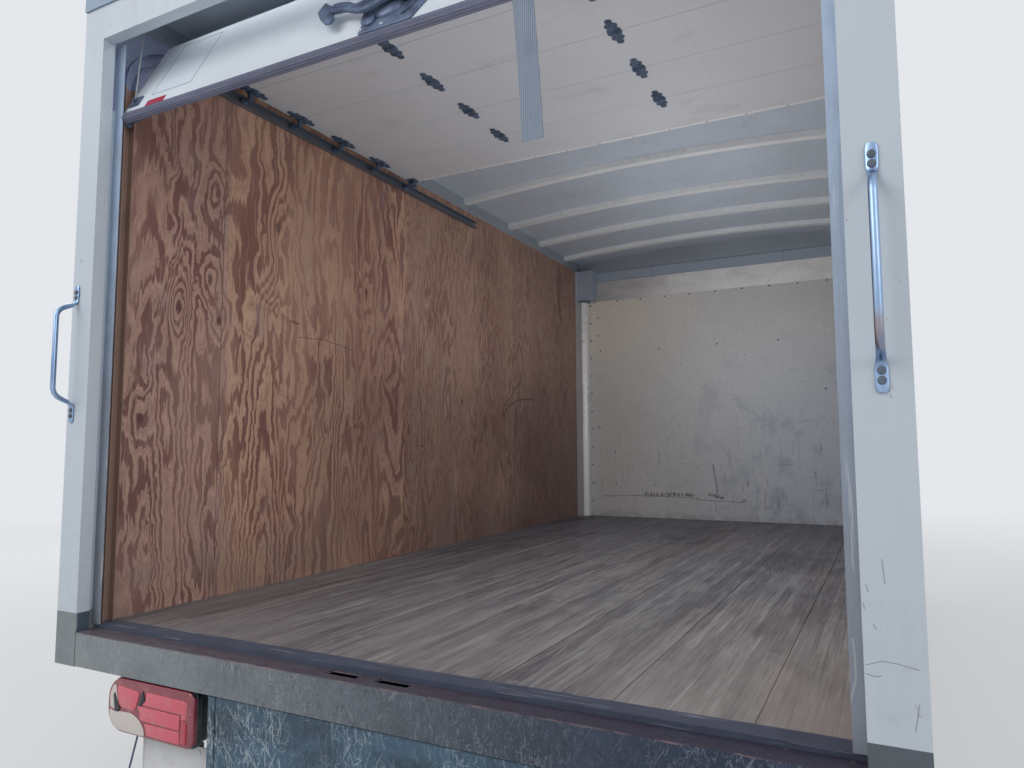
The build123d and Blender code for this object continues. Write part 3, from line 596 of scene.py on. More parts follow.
def body_paint(name, colour, marks=True):
    """White body paint: faint orange peel, grime towards the floor, scratches that show grey."""
    paint = Finish(name, roughness=0.36, Coat_Weight=0.15, Coat_Roughness=0.25)
    cloud = paint.noise(2.2, detail=5.0)
    paint.tone = paint.mix(cloud, dull(colour, 0.9), dull(colour, 1.04))
    streaks = paint.noise(14.0, (1, 1, 0.05), detail=4.0)
    paint.lay(streaks.span(0.5, 0.8) * 0.35, dull(colour, 0.72))
    low = paint.z.span(0.18, 0.75, 1.0, 0.0)
    dirt = low * paint.noise(26.0, detail=6.0, roughness=0.7).span(0.48, 0.72)
    paint.lay(dirt * 0.16, screen(138, 136, 132))
    fine = paint.scratches((1, 1, 0.12), 60.0, (0.5, 0.3, 0.2), 0.7)
    fine = fine * paint.noise(3.0).span(0.42, 0.62)
    paint.lay(fine * 0.5, screen(120, 126, 132))
    peel = paint.bump(paint.noise(420.0, detail=1.0), 0.0004, 0.25)
    if marks:
        lines = [[(1.155, 0, 0.551), (1.158, 0, 0.509)],
                 [(1.122, 0, 0.367), (1.148, 0, 0.377), (1.172, 0, 0.375), (1.203, 0, 0.369)],
                 [(1.122, 0, 0.473), (1.124, 0, 0.464)], [(1.137, 0, 0.438), (1.141, 0, 0.43)],
                 [(1.122, 0, 0.352), (1.136, 0, 0.349), (1.146, 0, 0.351)],
                 [(1.128, 0, 0.505), (1.131, 0, 0.494)], [(1.202, 0, 0.311), (1.194, 0, 0.266)]]
        drawn = paint.most(*[paint.stroke(line, 0.0004, 0.0011) for line in lines]) * 0.6
        paint.lay(drawn * 0.85, screen(64, 66, 72))
    rough = cloud.span(0.2, 0.8, 0.3, 0.46)
    return paint.done(Roughness=rough, Normal=peel)


def worn_base(name, left, right, rust=True):
    """Dark paint under the door: paler to the left, finely scratched, rust along the sill's upper edge."""
    paint = Finish(name, roughness=0.55)
    side, from_middle = paint.x.span(-1.15, 0.95), abs(paint.x)
    patches = paint.noise(7.0, (1, 1, 1.4), detail=6.0, roughness=0.68).span(0.35, 0.68)
    paint.tone = paint.mix(side, left, right)
    paint.lay(patches * 0.5, paint.mix(side, dull(left, 0.6), dull(right, 0.5)))
    if rust:
        web = paint.most(paint.hairs(96.0, (1, 1, 0.3), 0.0, 0.055),
                         paint.scratches((1, 1, 0.07), 110.0, (0, 0.45, 0), 0.655),
                         paint.scratches((1, 1, 0.07), 120.0, (0, -0.6, 0), 0.665),
                         paint.hairs(130.0, (1, 1, 0.8), -0.5, 0.05))
        upright = paint.scratches((1, 1, 0.1), 90.0, (0, 0.08, 0), 0.66)
        between_posts = from_middle.span(1.09, 1.118, 1.0, 0.1)
        marks = paint.most(web * side.span(0.15, 0.65, 0.5, 1.0), upright * 0.9) * between_posts
    else:
        marks = paint.scratches((0.03, 1, 1), 150.0, (0, 0, 0), 0.62)
    marks = marks * paint.noise(4.0, detail=4.0).span(0.32, 0.58, 0.15, 1.0)
    paint.lay(marks * 0.6, paint.mix(side, screen(182, 188, 190), screen(128, 134, 152)))
    cuts = paint.hairs(70.0, (1, 1, 0.5), 0.2, 0.05) * paint.x.span(-1.0, -0.4)
    paint.lay(cuts * (0.6 if rust else 0.0), paint.mix(side, dull(left, 0.35), dull(right, 0.35)))
    chips = paint.noise(90.0, detail=5.0, roughness=0.75).span(0.685, 0.7)
    paint.lay(chips * 0.6, screen(176, 178, 176))
    if rust:
        post_gap = from_middle.span(POST_INNER - 0.0005, POST_INNER + 0.0005, 1.0, 0.0)
        top = paint.z.span(SILL_TOP - 0.006, SILL_TOP - 0.001)
        top = top * paint.near_axis(paint.z, SILL_TOP, 0.004, 0.004)
        stain = top * paint.noise(16.0, (1, 2.4, 1), detail=6.0, roughness=0.7).span(0.36, 0.58)
        top = top * post_gap
        paint.lay(top * 0.85, paint.mix(side, screen(86, 82, 92), screen(46, 48, 66)))
        paint.lay(stain * post_gap * 0.7, paint.mix(side, screen(82, 66, 76), screen(50, 42, 58)))
        edge = paint.z + paint.noise(30.0, detail=4.0) * 0.008
        ragged = paint.near_axis(edge, SILL_TOP + 0.0005, 0.0012, 0.0014) * paint.noise(12.0).span(0.45, 0.6)
        paint.lay(ragged * post_gap * 0.5, screen(150, 122, 128))
        # painted shade: the inner faces of the post bases are made dark navy
        painted_reveal_shade = paint.near_axis(from_middle, POST_INNER, 0.0015, 0.0005)
        painted_reveal_shade = painted_reveal_shade * paint.y.span(REAR_Y + 0.003, REAR_Y + 0.006)
        paint.lay(painted_reveal_shade * 0.8, screen(44, 66, 88))
        seam = paint.near_axis(from_middle, POST_INNER, 0.0012, 0.0012) * paint.z.span(0.178, 0.18, 1.0, 0.0)
        paint.lay(seam * 0.85, screen(30, 34, 40))
    # painted sheen: the right post base is made lighter grey above its foot, for the light that its face reflects
    bases = from_middle.span(1.112, 1.122) * side * paint.z.span(0.07, 0.075) * 0.7
    paint.lay(bases, screen(100, 107, 114))
    return paint.done(Roughness=marks.span(0, 1, 0.56, 0.4), Normal=paint.bump(patches, 0.0006, 0.5))


def step_paint(name, colour):
    """Navy step panel: dense light scuffs, most of them steep and to the left."""
    paint = Finish(name, roughness=0.5)
    patches = paint.noise(7.0, (1, 1, 1.6), detail=6.0, roughness=0.68)
    paint.tone = paint.mix(patches.span(0.34, 0.66), dull(colour, 0.6), dull(colour, 1.35))
    web = paint.most(paint.hairs(74.0, (1, 1, 0.15), 0.1, 0.05),
                     paint.scratches((1, 1, 0.06), 120.0, (0, 0.12, 0), 0.64),
                     paint.scratches((1, 1, 0.06), 110.0, (0, -0.5, 0), 0.65),
                     paint.scratches((1, 1, 0.07), 110.0, (0, 0.75, 0), 0.66),
                     paint.hairs(90.0, (1, 1, 0.6), 0.6, 0.045))
    side = paint.x.span(-0.55, 0.5, 1.0, 0.5)
    marks = web * paint.noise(4.2, detail=4.0).span(0.34, 0.56, 0.1, 1.0) * side
    paint.lay(marks * 0.74, screen(172, 186, 194))
    chips = paint.noise(70.0, detail=5.0, roughness=0.75).span(0.68, 0.695)
    paint.lay(chips * 0.6, screen(176, 180, 182))
    return paint.done(Roughness=patches.span(0.3, 0.7, 0.42, 0.6), Normal=paint.bump(patches, 0.0008, 0.5))


def metal_sheet(name, colour, roughness=0.42, metallic=0.55, spangle=0.0, rivets=None, across=False,
                stained=0.4, brushed=(1, 0.04, 1)):
    """Dull bare or zinc-coated metal, with grain, stains and, on rails, rows of flush rivet heads."""
    metal = Finish(name, roughness=roughness, metallic=metallic)
    grain = metal.noise(160.0, brushed, detail=2.0)
    cloud = metal.noise(3.0, detail=5.0, roughness=0.6)
    metal.tone = metal.mix(cloud, dull(colour, 0.8), dull(colour, 1.12))
    metal.lay(grain.span(0.5, 0.75) * 0.22, dull(colour, 1.3))
    if spangle:
        flakes = metal.cells(90.0, output="Color")
        metal.lay(spangle, metal.mix(flakes, dull(colour, 0.7), dull(colour, 1.25)))
    stains = metal.noise(18.0, (1, 1, 0.3), detail=6.0, roughness=0.7).span(0.56, 0.74)
    metal.lay(stains * stained, dull(colour, 0.5))
    height = grain * 0.3
    if rivets:
        pitch, levels, radius = rivets
        run, rise = (metal.x, metal.y) if across else (metal.y, metal.z)
        beat = run / pitch % 1 - 0.5
        along = beat * pitch
        nearest = metal.least(*[metal.length(metal.joined(along, rise - level)) for level in levels])
        head = nearest.span(radius * 0.2, radius, 1.0, 0.0)
        ring = nearest.span(radius * 0.8, radius, 0, 1) * nearest.span(radius, radius * 1.5, 1, 0)
        metal.lay(ring * 0.7, dull(colour, 0.3))
        height = height + head * 4.0
    rough = cloud.span(0.2, 0.8, roughness - 0.08, roughness + 0.12)
    return metal.done(Roughness=rough, Normal=metal.bump(height, 0.0006, 0.5))


def sheet_with_painted_reflection(name, colour):
    """Creased bright sheet: clean to the right, smeared to the left, and darker to the left as a painted
    reflection of the dark hold.
    """
    metal = Finish(name, roughness=0.3, metallic=0.3)
    grain = metal.noise(170.0, (0.04, 1, 1), detail=2.0)
    cloud = metal.noise(3.2, (1, 1, 2.0), detail=5.0, roughness=0.62)
    metal.tone = metal.mix(cloud.span(0.3, 0.7), dull(colour, 0.84), colour)
    # painted reflection: the sheet is made darker to the left, where it mirrors the dark hold
    left = (metal.x + cloud * 0.5).span(-0.85, 0.25, 1.0, 0.0)
    metal.lay(left * 0.55, screen(118, 116, 124))
    metal.lay(grain.span(0.5, 0.75, 0.0, 0.25), dull(colour, 0.55))
    spots = metal.noise(46.0, detail=5.0, roughness=0.7).span(0.62, 0.7)
    metal.lay(spots * 0.4, screen(112, 106, 104))
    return metal.done(Roughness=cloud.span(0.3, 0.7, 0.28, 0.42), Normal=metal.bump(grain, 0.0004, 0.4))


def stop_metal(name, colour):
    """Door stops: zinc, dented and browned by hands and loads towards the floor."""
    metal = Finish(name, roughness=0.48, metallic=0.2)
    grain = metal.noise(150.0, (1, 1, 0.05), detail=3.0)
    cloud = metal.noise(4.0, (1, 1, 0.5), detail=5.0, roughness=0.65)
    metal.tone = metal.mix(cloud.span(0.3, 0.7), dull(colour, 0.82), dull(colour, 1.1))
    low = (metal.z + cloud * 0.7).span(2.0, 0.7)
    metal.lay(low * 0.78, screen(134, 134, 138))
    metal.lay(grain.span(0.48, 0.75, 0.0, 0.35), dull(colour, 0.45))
    # painted highlight: a light line drawn where the right stop's foot curls, which is not modelled
    curl = [(1.1, 0, 0.395), (1.102, 0, 0.359), (1.102, 0, 0.324), (1.094, 0, 0.291), (1.087, 0, 0.267)]
    bent = metal.stroke(curl, 0.0008, 0.0022)
    metal.lay(bent * 0.7, screen(178, 184, 192))
    rubbed = metal.scratches((1, 1, 0.06), 90.0, (0, 0, 0), 0.66) * 0.5
    metal.lay(rubbed, screen(206, 208, 212))
    return metal.done(Roughness=cloud.span(0.3, 0.7, 0.38, 0.58), Normal=metal.bump(cloud, 0.004, 0.4))


def two_sided(name, outside, inside):
    """Front sheet: white paint towards the front, grey primer towards the hold, stained by rain and dust."""
    paint = Finish(name, roughness=0.45)
    way = paint.made("ShaderNodeNewGeometry", key="Normal")
    outward = paint.vector("DOT_PRODUCT", way, (0, 1, 0), output="Value").span(0.3, 0.6)
    cloud = paint.noise(2.4, detail=5.0)
    paint.tone = paint.mix(outward, paint.mix(cloud, dull(inside, 0.85), dull(inside, 1.1)),
                           paint.mix(cloud, dull(outside, 0.9), dull(outside, 1.04)))
    streaks = paint.noise(14.0, (1, 1, 0.05), detail=4.0).span(0.5, 0.8)
    paint.lay(streaks * 0.35, dull(outside, 0.66))
    seams = abs(paint.x / 1.02 % 1 - 0.5)
    paint.lay(seams.span(0.002, 0.004, 1.0, 0.0) * 0.6, dull(outside, 0.3))
    return paint.done(Roughness=cloud.span(0.2, 0.8, 0.36, 0.5),
                      Normal=paint.bump(paint.noise(300.0), 0.0004, 0.3))


def plain_paint(name, colour, roughness=0.5, wear=0.5, metallic=0.0):
    """Dark paint on small metal parts: dust, rubbed spots and a little grain."""
    paint = Finish(name, roughness=roughness, metallic=metallic)
    cloud = paint.noise(22.0, detail=6.0, roughness=0.65)
    paint.tone = paint.mix(cloud.span(0.3, 0.7), dull(colour, 0.62), dull(colour, 1.35))
    rubbed = paint.noise(130.0, detail=4.0, roughness=0.7).span(0.6, 0.68)
    paint.lay(rubbed * wear, dull(colour, 3.0))
    relief = paint.bump(paint.noise(300.0, detail=3.0), 0.0005, 0.4)
    return paint.done(Roughness=cloud.span(0.3, 0.7, roughness - 0.12, roughness + 0.12), Normal=relief)


def plywood(name, light, dark):
    """Rotary-cut plywood: ragged upright figure with knots and arches, another cut for each sheet."""
    wood = Finish(name, roughness=0.52, Coat_Weight=0.06, Coat_Roughness=0.45)
    count = (wood.y - SHEET_START) // SHEET_PITCH
    far = wood.maths("GREATER_THAN", count, 0.5)
    teeth = wood.noise(1.0, (0, 85.0, 3.0), detail=2.0, roughness=0.6)
    up = wood.z + (teeth - 0.5) * 0.16
    waves = wood.noise(1.0, (0, 5.0, 8.0), detail=1.0) - 0.5
    ripples = wood.noise(1.0, (0, 26.0, 20.0), detail=2.0) - 0.5
    across_grain = waves * 0.36 + ripples * 0.16
    field_at = wood.joined(wood.x * 3.0 + count * 7.3, wood.y * 5.6 + across_grain, up * 1.15)
    field = wood.noise(1.0, detail=2.6, roughness=0.45, distortion=0.5, of=field_at)
    field = field * (10.0 + far * 9.0)
    knots = [(0.497, 1.515, 0.05, 2.2), (0.474, 1.162, 0.055, 2.6), (0.524, 1.019, 0.05, 2.4),
             (0.337, 1.035, 0.045, 2.0), (0.787, 1.1, 0.055, 1.8), (0.817, 1.47, 0.06, 1.6),
             (1.42, 1.3, 0.06, 1.8), (2.35, 0.8, 0.06, 1.8), (0.2, 0.62, 0.05, 2.0), (3.3, 1.25, 0.06, 1.8)]
    cores = []
    wobble = ripples * 0.03
    for rear, height, radius, rise in knots:
        offset = wood.vector("SUBTRACT", wood.place, (0, REAR_Y + rear, height + MARKS_FROM))
        away = wood.length(wood.vector("MULTIPLY", offset, (0, 1.0, 0.5))) + wobble
        field = field + away.span(0.0, radius * 1.6, rise, 0.0)
        cores.append(away.span(0.005, 0.012, 1.0, 0.0))
    arches = [(0.776, 1.344, 0.15, 0.55, 4.2), (1.3, 1.75, 0.16, 0.9, 3.6), (2.15, 1.55, 0.2, 0.9, 3.6),
              (0.33, 1.7, 0.1, 0.6, 2.6)]
    for rear, top, half, drop, rise in arches:
        across = abs(wood.y - (REAR_Y + rear) + wobble)
        down = top + MARKS_FROM - up
        body = across.span(0.0, half, 1.0, 0.0) * down.span(-0.12, drop)
        field = field + body * rise
    ring = field % 1
    fibre_edge = wood.noise(120.0, (0, 1.0, 0.04), detail=3.0, roughness=0.6)
    ring = ring + (fibre_edge - 0.5) * 0.2
    late = ring.span(0.4, 0.5) * ring.span(0.84, 0.98, 1.0, 0.0)
    line = wood.most(wood.near_axis(ring, 0.3, 0.012, 0.025), wood.near_axis(ring, 0.19, 0.006, 0.02))
    pale = wood.near_axis(ring, 0.05, 0.02, 0.04)
    broad = wood.noise(1.6, (0.5, 1.8, 0.5), detail=2.0)
    strength = broad.span(0.36, 0.6, 0.62, 1.0) * (1.0 - far * 0.15)
    # per-sheet tone, and partly painted shade: the lining grows darker in steps deeper into the hold, darker and
    # bluer in its first 0.19 m
    sheet = wood.ramp(wood.y.span(REAR_Y, REAR_Y + 4.3), (0.0, (0.86, 0.84, 0.92)),
                      (0.0447, (0.86, 0.84, 0.92)), (0.0448, (1.0, 0.97, 0.94)), (0.3645, (0.8, 0.78, 0.78)),
                      (0.7875, (0.72, 0.71, 0.74)), step=True)
    wood.tone = wood.mix(late * strength, light, dark)
    wood.lay(line * strength * 0.55, dull(dark, 0.85))
    wood.lay(pale * strength * 0.45, dull(light, 1.18))
    red = wood.noise(1.1, (1, 2.0, 0.6), detail=3.0).span(0.44, 0.62)
    wood.lay(red * 0.36, dull(dark, 1.02))
    blond = wood.noise(1.3, (1, 1.6, 0.7), detail=2.0, shift=(4, 2, 1)).span(0.5, 0.68)
    wood.lay(blond * 0.3, dull(light, 1.08))
    fibres = wood.noise(320.0, (0, 1.0, 0.022), detail=2.0, roughness=0.7)
    wood.lay(fibres.span(0.42, 0.8, 0.0, 0.36), dull(dark, 0.66))
    veins = wood.noise(90.0, (0, 1.0, 0.05), detail=2.0, roughness=0.6,
                       of=wood.joined(0.0, wood.y + waves * 0.05, wood.z))
    wood.lay(veins.span(0.5, 0.72, 0.0, 0.3), dull(light, 1.16))
    dark_veins = veins.span(0.46, 0.26) * (0.12 + far * 0.3)
    wood.lay(dark_veins, dull(dark, 0.62))
    wood.lay(wood.most(*cores) * 0.7, dull(dark, 0.4))
    wood.lay(1.0, sheet, "MULTIPLY")
    # painted shade: the lower part of the lining is made darker from half a metre into the hold on
    painted_low_front_shade = wood.z.span(1.5, 0.85) * wood.y.span(REAR_Y + 0.5, REAR_Y + 1.3)
    painted_low_front_shade = painted_low_front_shade * wood.noise(1.7, detail=2.0).span(0.3, 0.55, 0.6, 1.0)
    wood.lay(painted_low_front_shade, (0.68, 0.66, 0.68), "MULTIPLY")
    dust = wood.noise(7.0, (1, 1, 0.5), detail=4.0, roughness=0.7).span(0.5, 0.74) * 0.26
    wood.lay(dust, screen(168, 156, 152))
    low = wood.z.span(0.19, 0.62, 1.0, 0.0) * wood.noise(5.0, detail=3.0).span(0.36, 0.66) * 0.42
    wood.lay(low, screen(124, 112, 108))
    drawn = [(0.002, 0.003, [(0.905, 1.307), (0.955, 1.3)]),
             (0.0008, 0.0016, [(0.953, 1.242), (1.127, 1.251), (1.319, 1.227)]),
             (0.002, 0.004, [(2.554, 0.763), (2.596, 0.826), (2.655, 0.904)]),
             (0.003, 0.004, [(2.876, 0.971), (2.983, 1.044), (3.105, 1.085), (3.375, 1.108)]),
             (0.002, 0.004, [(2.881, 1.018), (2.976, 1.085), (3.13, 1.214)]),
             (0.001, 0.004, [(3.029, 1.15), (3.137, 1.2)]), (0.004, 0.006, [(1.925, 0.764), (1.931, 0.76)])]
    marks = []
    for half, soft, line in drawn:
        points = [(0, REAR_Y + rear, height) for rear, height in line]
        marks.append(wood.stroke(points, half, soft, flat=(0, 1, 1)))
    wood.lay(wood.most(*marks) * 0.75, screen(44, 36, 38))
    seams = [wood.near_axis(wood.y, SHEET_START + SHEET_PITCH * number, 0.001, 0.0014) for number in range(3)]
    wood.lay(wood.most(*seams) * 0.45, screen(54, 42, 42))
    return wood.done(Roughness=late.span(0, 1, 0.58, 0.46), Normal=wood.bump(fibres, 0.0005, 0.4))


def floor_wood(name, light, dark):
    """Laminated hardwood: narrow strips of many browns, dark board joints, wear towards the rear."""
    wood = Finish(name, roughness=0.5)
    strip_width, board = 0.0303, 0.303
    strip = wood.x // strip_width
    offset = wood.made("ShaderNodeTexWhiteNoise", {"W": strip}, "Value", noise_dimensions="1D")
    along = wood.y / 0.85 + offset * 9.0
    place = wood.joined(strip, along // 1)
    block = wood.made("ShaderNodeTexWhiteNoise", {"Vector": place}, "Value", noise_dimensions="3D")
    wood.tone = wood.ramp(block, (0.0, dull(dark, 1.08)), (0.35, dull(light, 0.84)), (0.6, dull(light, 0.95)),
                          (0.8, dull(dark, 1.25)), (1.0, dull(light, 1.04)))
    grain = wood.noise(60.0, (1.0, 0.03, 1.0), detail=3.0, roughness=0.65)
    wood.lay(grain.span(0.4, 0.72, 0.0, 0.55), dull(dark, 0.5))
    threads = wood.noise(170.0, (1.0, 0.03, 1.0), detail=3.0, roughness=0.7)
    wood.lay(threads.span(0.46, 0.7, 0.0, 0.78), dull(dark, 0.34))
    wood.lay(threads.span(0.46, 0.28, 0.0, 0.5), dull(light, 1.35))
    inside = wood.x / strip_width % 1 - 0.5
    strip_line = abs(inside).span(0.475, 0.5)
    wood.lay(strip_line * 0.3, dull(dark, 0.35))
    cross = along % 1 - 0.5
    wood.lay(abs(cross).span(0.4975, 0.5, 0.0, 0.5), dull(dark, 0.3))
    from_joint = (wood.x / board + 0.5) % 1 - 0.5
    joint = abs(from_joint).span(0.003, 0.009, 1.0, 0.0)
    wood.lay(joint * 0.75, screen(38, 34, 36))
    worn = wood.noise(4.0, (1, 0.4, 1), detail=3.0).span(0.36, 0.62)
    worn = wood.y.span(REAR_Y + 0.1, REAR_Y + 1.5, 1.0, 0.0) * worn
    wood.lay(worn * 0.3, screen(158, 150, 148))
    dusty = wood.x.span(0.35, 1.05) * wood.y.span(REAR_Y + 0.2, REAR_Y + 1.8, 1.0, 0.0)
    wood.lay(dusty * 0.4, screen(176, 164, 156))
    # painted shade: the floor is made darker and bluer deep in the hold, most of all to the left
    deep = wood.y.span(REAR_Y + 1.6, REAR_Y + 4.0) * wood.x.span(-1.1, 0.2, 1.0, 0.55)
    wood.lay(deep * 0.42, screen(78, 76, 100))
    dirt = wood.noise(2.6, (1, 0.35, 1), detail=4.0, roughness=0.65).span(0.46, 0.72)
    wood.lay(dirt * 0.42, dull(dark, 0.5))
    red = wood.noise(1.9, (1.4, 0.4, 1), detail=3.0, shift=(3, 1, 0)).span(0.5, 0.7) * 0.16
    wood.lay(red, screen(138, 96, 82))
    scuffs = wood.most(wood.scratches((1, 0.03, 1), 60.0, (0, 0, 0.02), 0.68),
                       wood.scratches((1, 0.04, 1), 40.0, (0, 0, -0.1), 0.7))
    wood.lay(scuffs * 0.25, screen(186, 182, 180))
    specks = wood.noise(120.0, detail=4.0, roughness=0.7).span(0.62, 0.68)
    specks = specks * wood.noise(3.4, detail=3.0).span(0.42, 0.62)
    wood.lay(specks * 0.4, screen(180, 178, 180))
    relief = wood.bump(1.0 - wood.most(joint, strip_line), 0.0009, 0.5)
    return wood.done(Roughness=dirt.span(0, 1, 0.46, 0.62), Normal=relief)


def scuffed_panel(name, colour):
    """White front panel: fine speckle, upright drips and, low down, one long scuff line with its smears."""
    panel = Finish(name, roughness=0.46)
    cloud = panel.noise(1.4, detail=4.0, roughness=0.6)
    panel.tone = panel.mix(cloud.span(0.3, 0.7), dull(colour, 0.94), dull(colour, 1.03))
    # painted light: a warm cast laid over the upper left of the panel
    painted_warm_light = panel.x.span(-1.05, 0.1, 1.0, 0.0) * panel.z.span(1.1, 1.9)
    panel.lay(painted_warm_light * 0.75, screen(240, 226, 208))
    # painted light: a cool bluish cast laid over the lower right of the panel, as of sky light
    painted_cool_light = panel.x.span(-0.9, 0.8) * panel.z.span(2.1, 0.8)
    panel.lay(painted_cool_light * 0.7, screen(192, 202, 218))
    weave = panel.noise(150.0, (1, 1, 0.35), detail=3.0, roughness=0.75)
    panel.lay(weave.span(0.44, 0.68, 0.0, 0.34), dull(colour, 0.56))
    stains = panel.noise(6.0, (1, 1, 0.8), detail=5.0, roughness=0.74).span(0.5, 0.66)
    stains = stains * panel.x.span(-0.7, 0.4) * panel.z.span(1.8, 1.1)
    panel.lay(stains * 0.42, screen(132, 146, 168))
    speck = panel.noise(85.0, detail=4.0, roughness=0.78).span(0.61, 0.69)
    panel.lay(speck * 0.36, dull(colour, 0.5))
    low = panel.z.span(1.35, 0.5)
    fine = panel.scratches((1, 1, 0.07), 70.0, (0, 0.03, 0), 0.645)
    panel.lay(fine * low * 0.42, screen(104, 100, 106))
    level = panel.scratches((0.05, 1, 1), 46.0, (0, 0.04, 0), 0.69)
    panel.lay(level * low * 0.35, screen(112, 106, 108))
    thin = panel.stroke([(-0.961, 0, 0.351), (-0.619, 0, 0.365), (-0.222, 0, 0.356), (-0.127, 0, 0.34),
                         (0.15, 0, 0.332), (0.172, 0, 0.34)], 0.0016, 0.005)
    bars = panel.noise(75.0, (1, 0, 0.25), detail=2.0).span(0.46, 0.52)
    dashes = panel.stroke([(-0.593, 0, 0.378), (-0.222, 0, 0.38)], 0.007, 0.01) * bars
    drawn = [(0.008, 0.008, [(-0.265, 0.379), (-0.217, 0.376)]),
             (0.0015, 0.006, [(-0.054, 0.616), (-0.044, 0.533), (-0.03, 0.451), (-0.028, 0.357)]),
             (0.006, 0.012, [(-0.086, 0.384), (0.009, 0.363)]),
             (0.002, 0.004, [(0.209, 0.489), (0.199, 0.456)]), (0.002, 0.004, [(0.182, 0.352), (0.166, 0.34)]),
             (0.0015, 0.004, [(-0.844, 0.47), (-0.844, 0.448)]),
             (0.002, 0.005, [(-0.523, 0.462), (-0.52, 0.446)]),
             (0.001, 0.004, [(-0.847, 0.722), (-0.847, 0.7)]), (0.003, 0.004, [(0.206, 1.46), (0.208, 1.459)]),
             (0.002, 0.004, [(-0.289, 1.409), (-0.287, 1.409)])]
    smears = panel.most(*[panel.stroke([(x, 0, z) for x, z in line], half, soft) for half, soft, line in drawn])
    broken = panel.noise(60.0, detail=5.0, roughness=0.7).span(0.38, 0.56, 0.35, 1.0)
    panel.lay(thin * broken * 0.62, screen(92, 84, 88))
    panel.lay(panel.most(dashes, smears) * broken * 0.85, screen(70, 52, 54))
    foot = panel.z.span(0.26, 0.19) * panel.noise(14.0, detail=5.0).span(0.38, 0.62)
    panel.lay(foot * 0.35, screen(120, 112, 110))
    dents = panel.noise(4.0, detail=2.0)
    return panel.done(Roughness=cloud.span(0.3, 0.7, 0.36, 0.5), Normal=panel.bump(dents, 0.006, 0.5))


def door_paint(name, outside, inside):
    """Door panels: white outside, warm grey inside, with board lines and rubbed spots."""
    paint = Finish(name, roughness=0.45)
    way = paint.made("ShaderNodeNewGeometry", key="Normal")
    facing_in = paint.vector("DOT_PRODUCT", way, (0, 0.45, -0.9), output="Value").span(0.0, 0.3)
    cloud = paint.noise(2.4, detail=5.0)
    inner = paint.mix(cloud, dull(inside, 0.92), dull(inside, 1.03))
    outer = paint.mix(cloud, dull(outside, 0.9), dull(outside, 1.03))
    paint.tone = paint.mix(facing_in, outer, inner)
    boards = abs(paint.x / 0.61 % 1 - 0.5)
    paint.lay(boards.span(0.497, 0.5) * 0.25, screen(150, 150, 152))
    smears = paint.noise(5.0, (0.5, 1, 1), detail=6.0, roughness=0.7).span(0.55, 0.75)
    paint.lay(smears * 0.3, screen(150, 144, 140))
    specks = paint.noise(90.0, detail=5.0, roughness=0.75).span(0.66, 0.7)
    paint.lay(specks * 0.5, screen(110, 106, 108))
    scrapes = paint.scratches((0.03, 1, 1), 90.0, (0, 0, 0.25), 0.68) * paint.noise(2.0).span(0.45, 0.6)
    paint.lay(scrapes * 0.35, screen(228, 230, 232))
    ticks = paint.scratches((0.25, 1, 1), 40.0, (0, 0, -0.6), 0.76) * 0.5
    paint.lay(ticks, screen(110, 108, 112))
    return paint.done(Roughness=cloud.span(0.2, 0.8, 0.36, 0.52),
                      Normal=paint.bump(paint.noise(200.0), 0.0003, 0.3))


def ribbed_webbing(name, colour):
    """Pull strap: ribs along its length and a fine weave across."""
    cloth = Finish(name, roughness=0.75, Sheen_Weight=0.25, Sheen_Roughness=0.5)
    ribs = (cloth.x * (2 * math.pi / 0.0052)).sine()
    weave = (cloth.z * (2 * math.pi / 0.0018)).sine()
    height = ribs + weave * 0.35
    wear = cloth.noise(30.0, (1, 1, 0.3), detail=5.0)
    cloth.tone = cloth.mix(ribs.span(-1.0, 1.0), dull(colour, 0.72), dull(colour, 1.12))
    cloth.lay(wear.span(0.5, 0.75) * 0.35, dull(colour, 0.55))
    return cloth.done(Normal=cloth.bump(height, 0.0006, 0.5))


def red_lens(name, colour, clear=False):
    """Lamp lens: red or clear plastic over a prism pattern, dusty in the corners."""
    lens = Finish(name, roughness=0.16, Coat_Weight=0.6, Coat_Roughness=0.08)
    prisms = (lens.x * (2 * math.pi / 0.006)).sine() * (lens.z * (2 * math.pi / 0.006)).sine()
    lens.tone = lens.mix(prisms.span(-1, 1), dull(colour, 0.78), dull(colour, 1.12))
    dust = lens.noise(16.0, detail=6.0, roughness=0.7).span(0.5, 0.75)
    lens.lay(dust * 0.35, screen(196, 150, 146) if not clear else screen(170, 166, 160))
    return lens.done(Roughness=dust.span(0, 1, 0.14, 0.42), Normal=lens.bump(prisms, 0.0005, 0.35))


def moulded(name, colour, roughness=0.5):
    """Black moulded plastic or rubber with a fine grain and dust."""
    skin = Finish(name, roughness=roughness)
    grain = skin.noise(480.0, detail=2.0)
    dust = skin.noise(14.0, detail=5.0, roughness=0.65).span(0.42, 0.72)
    skin.tone = skin.mix(dust * 0.35, colour, screen(128, 122, 116))
    return skin.done(Roughness=dust.span(0, 1, roughness - 0.08, roughness + 0.2),
                     Normal=skin.bump(grain, 0.0004, 0.4))


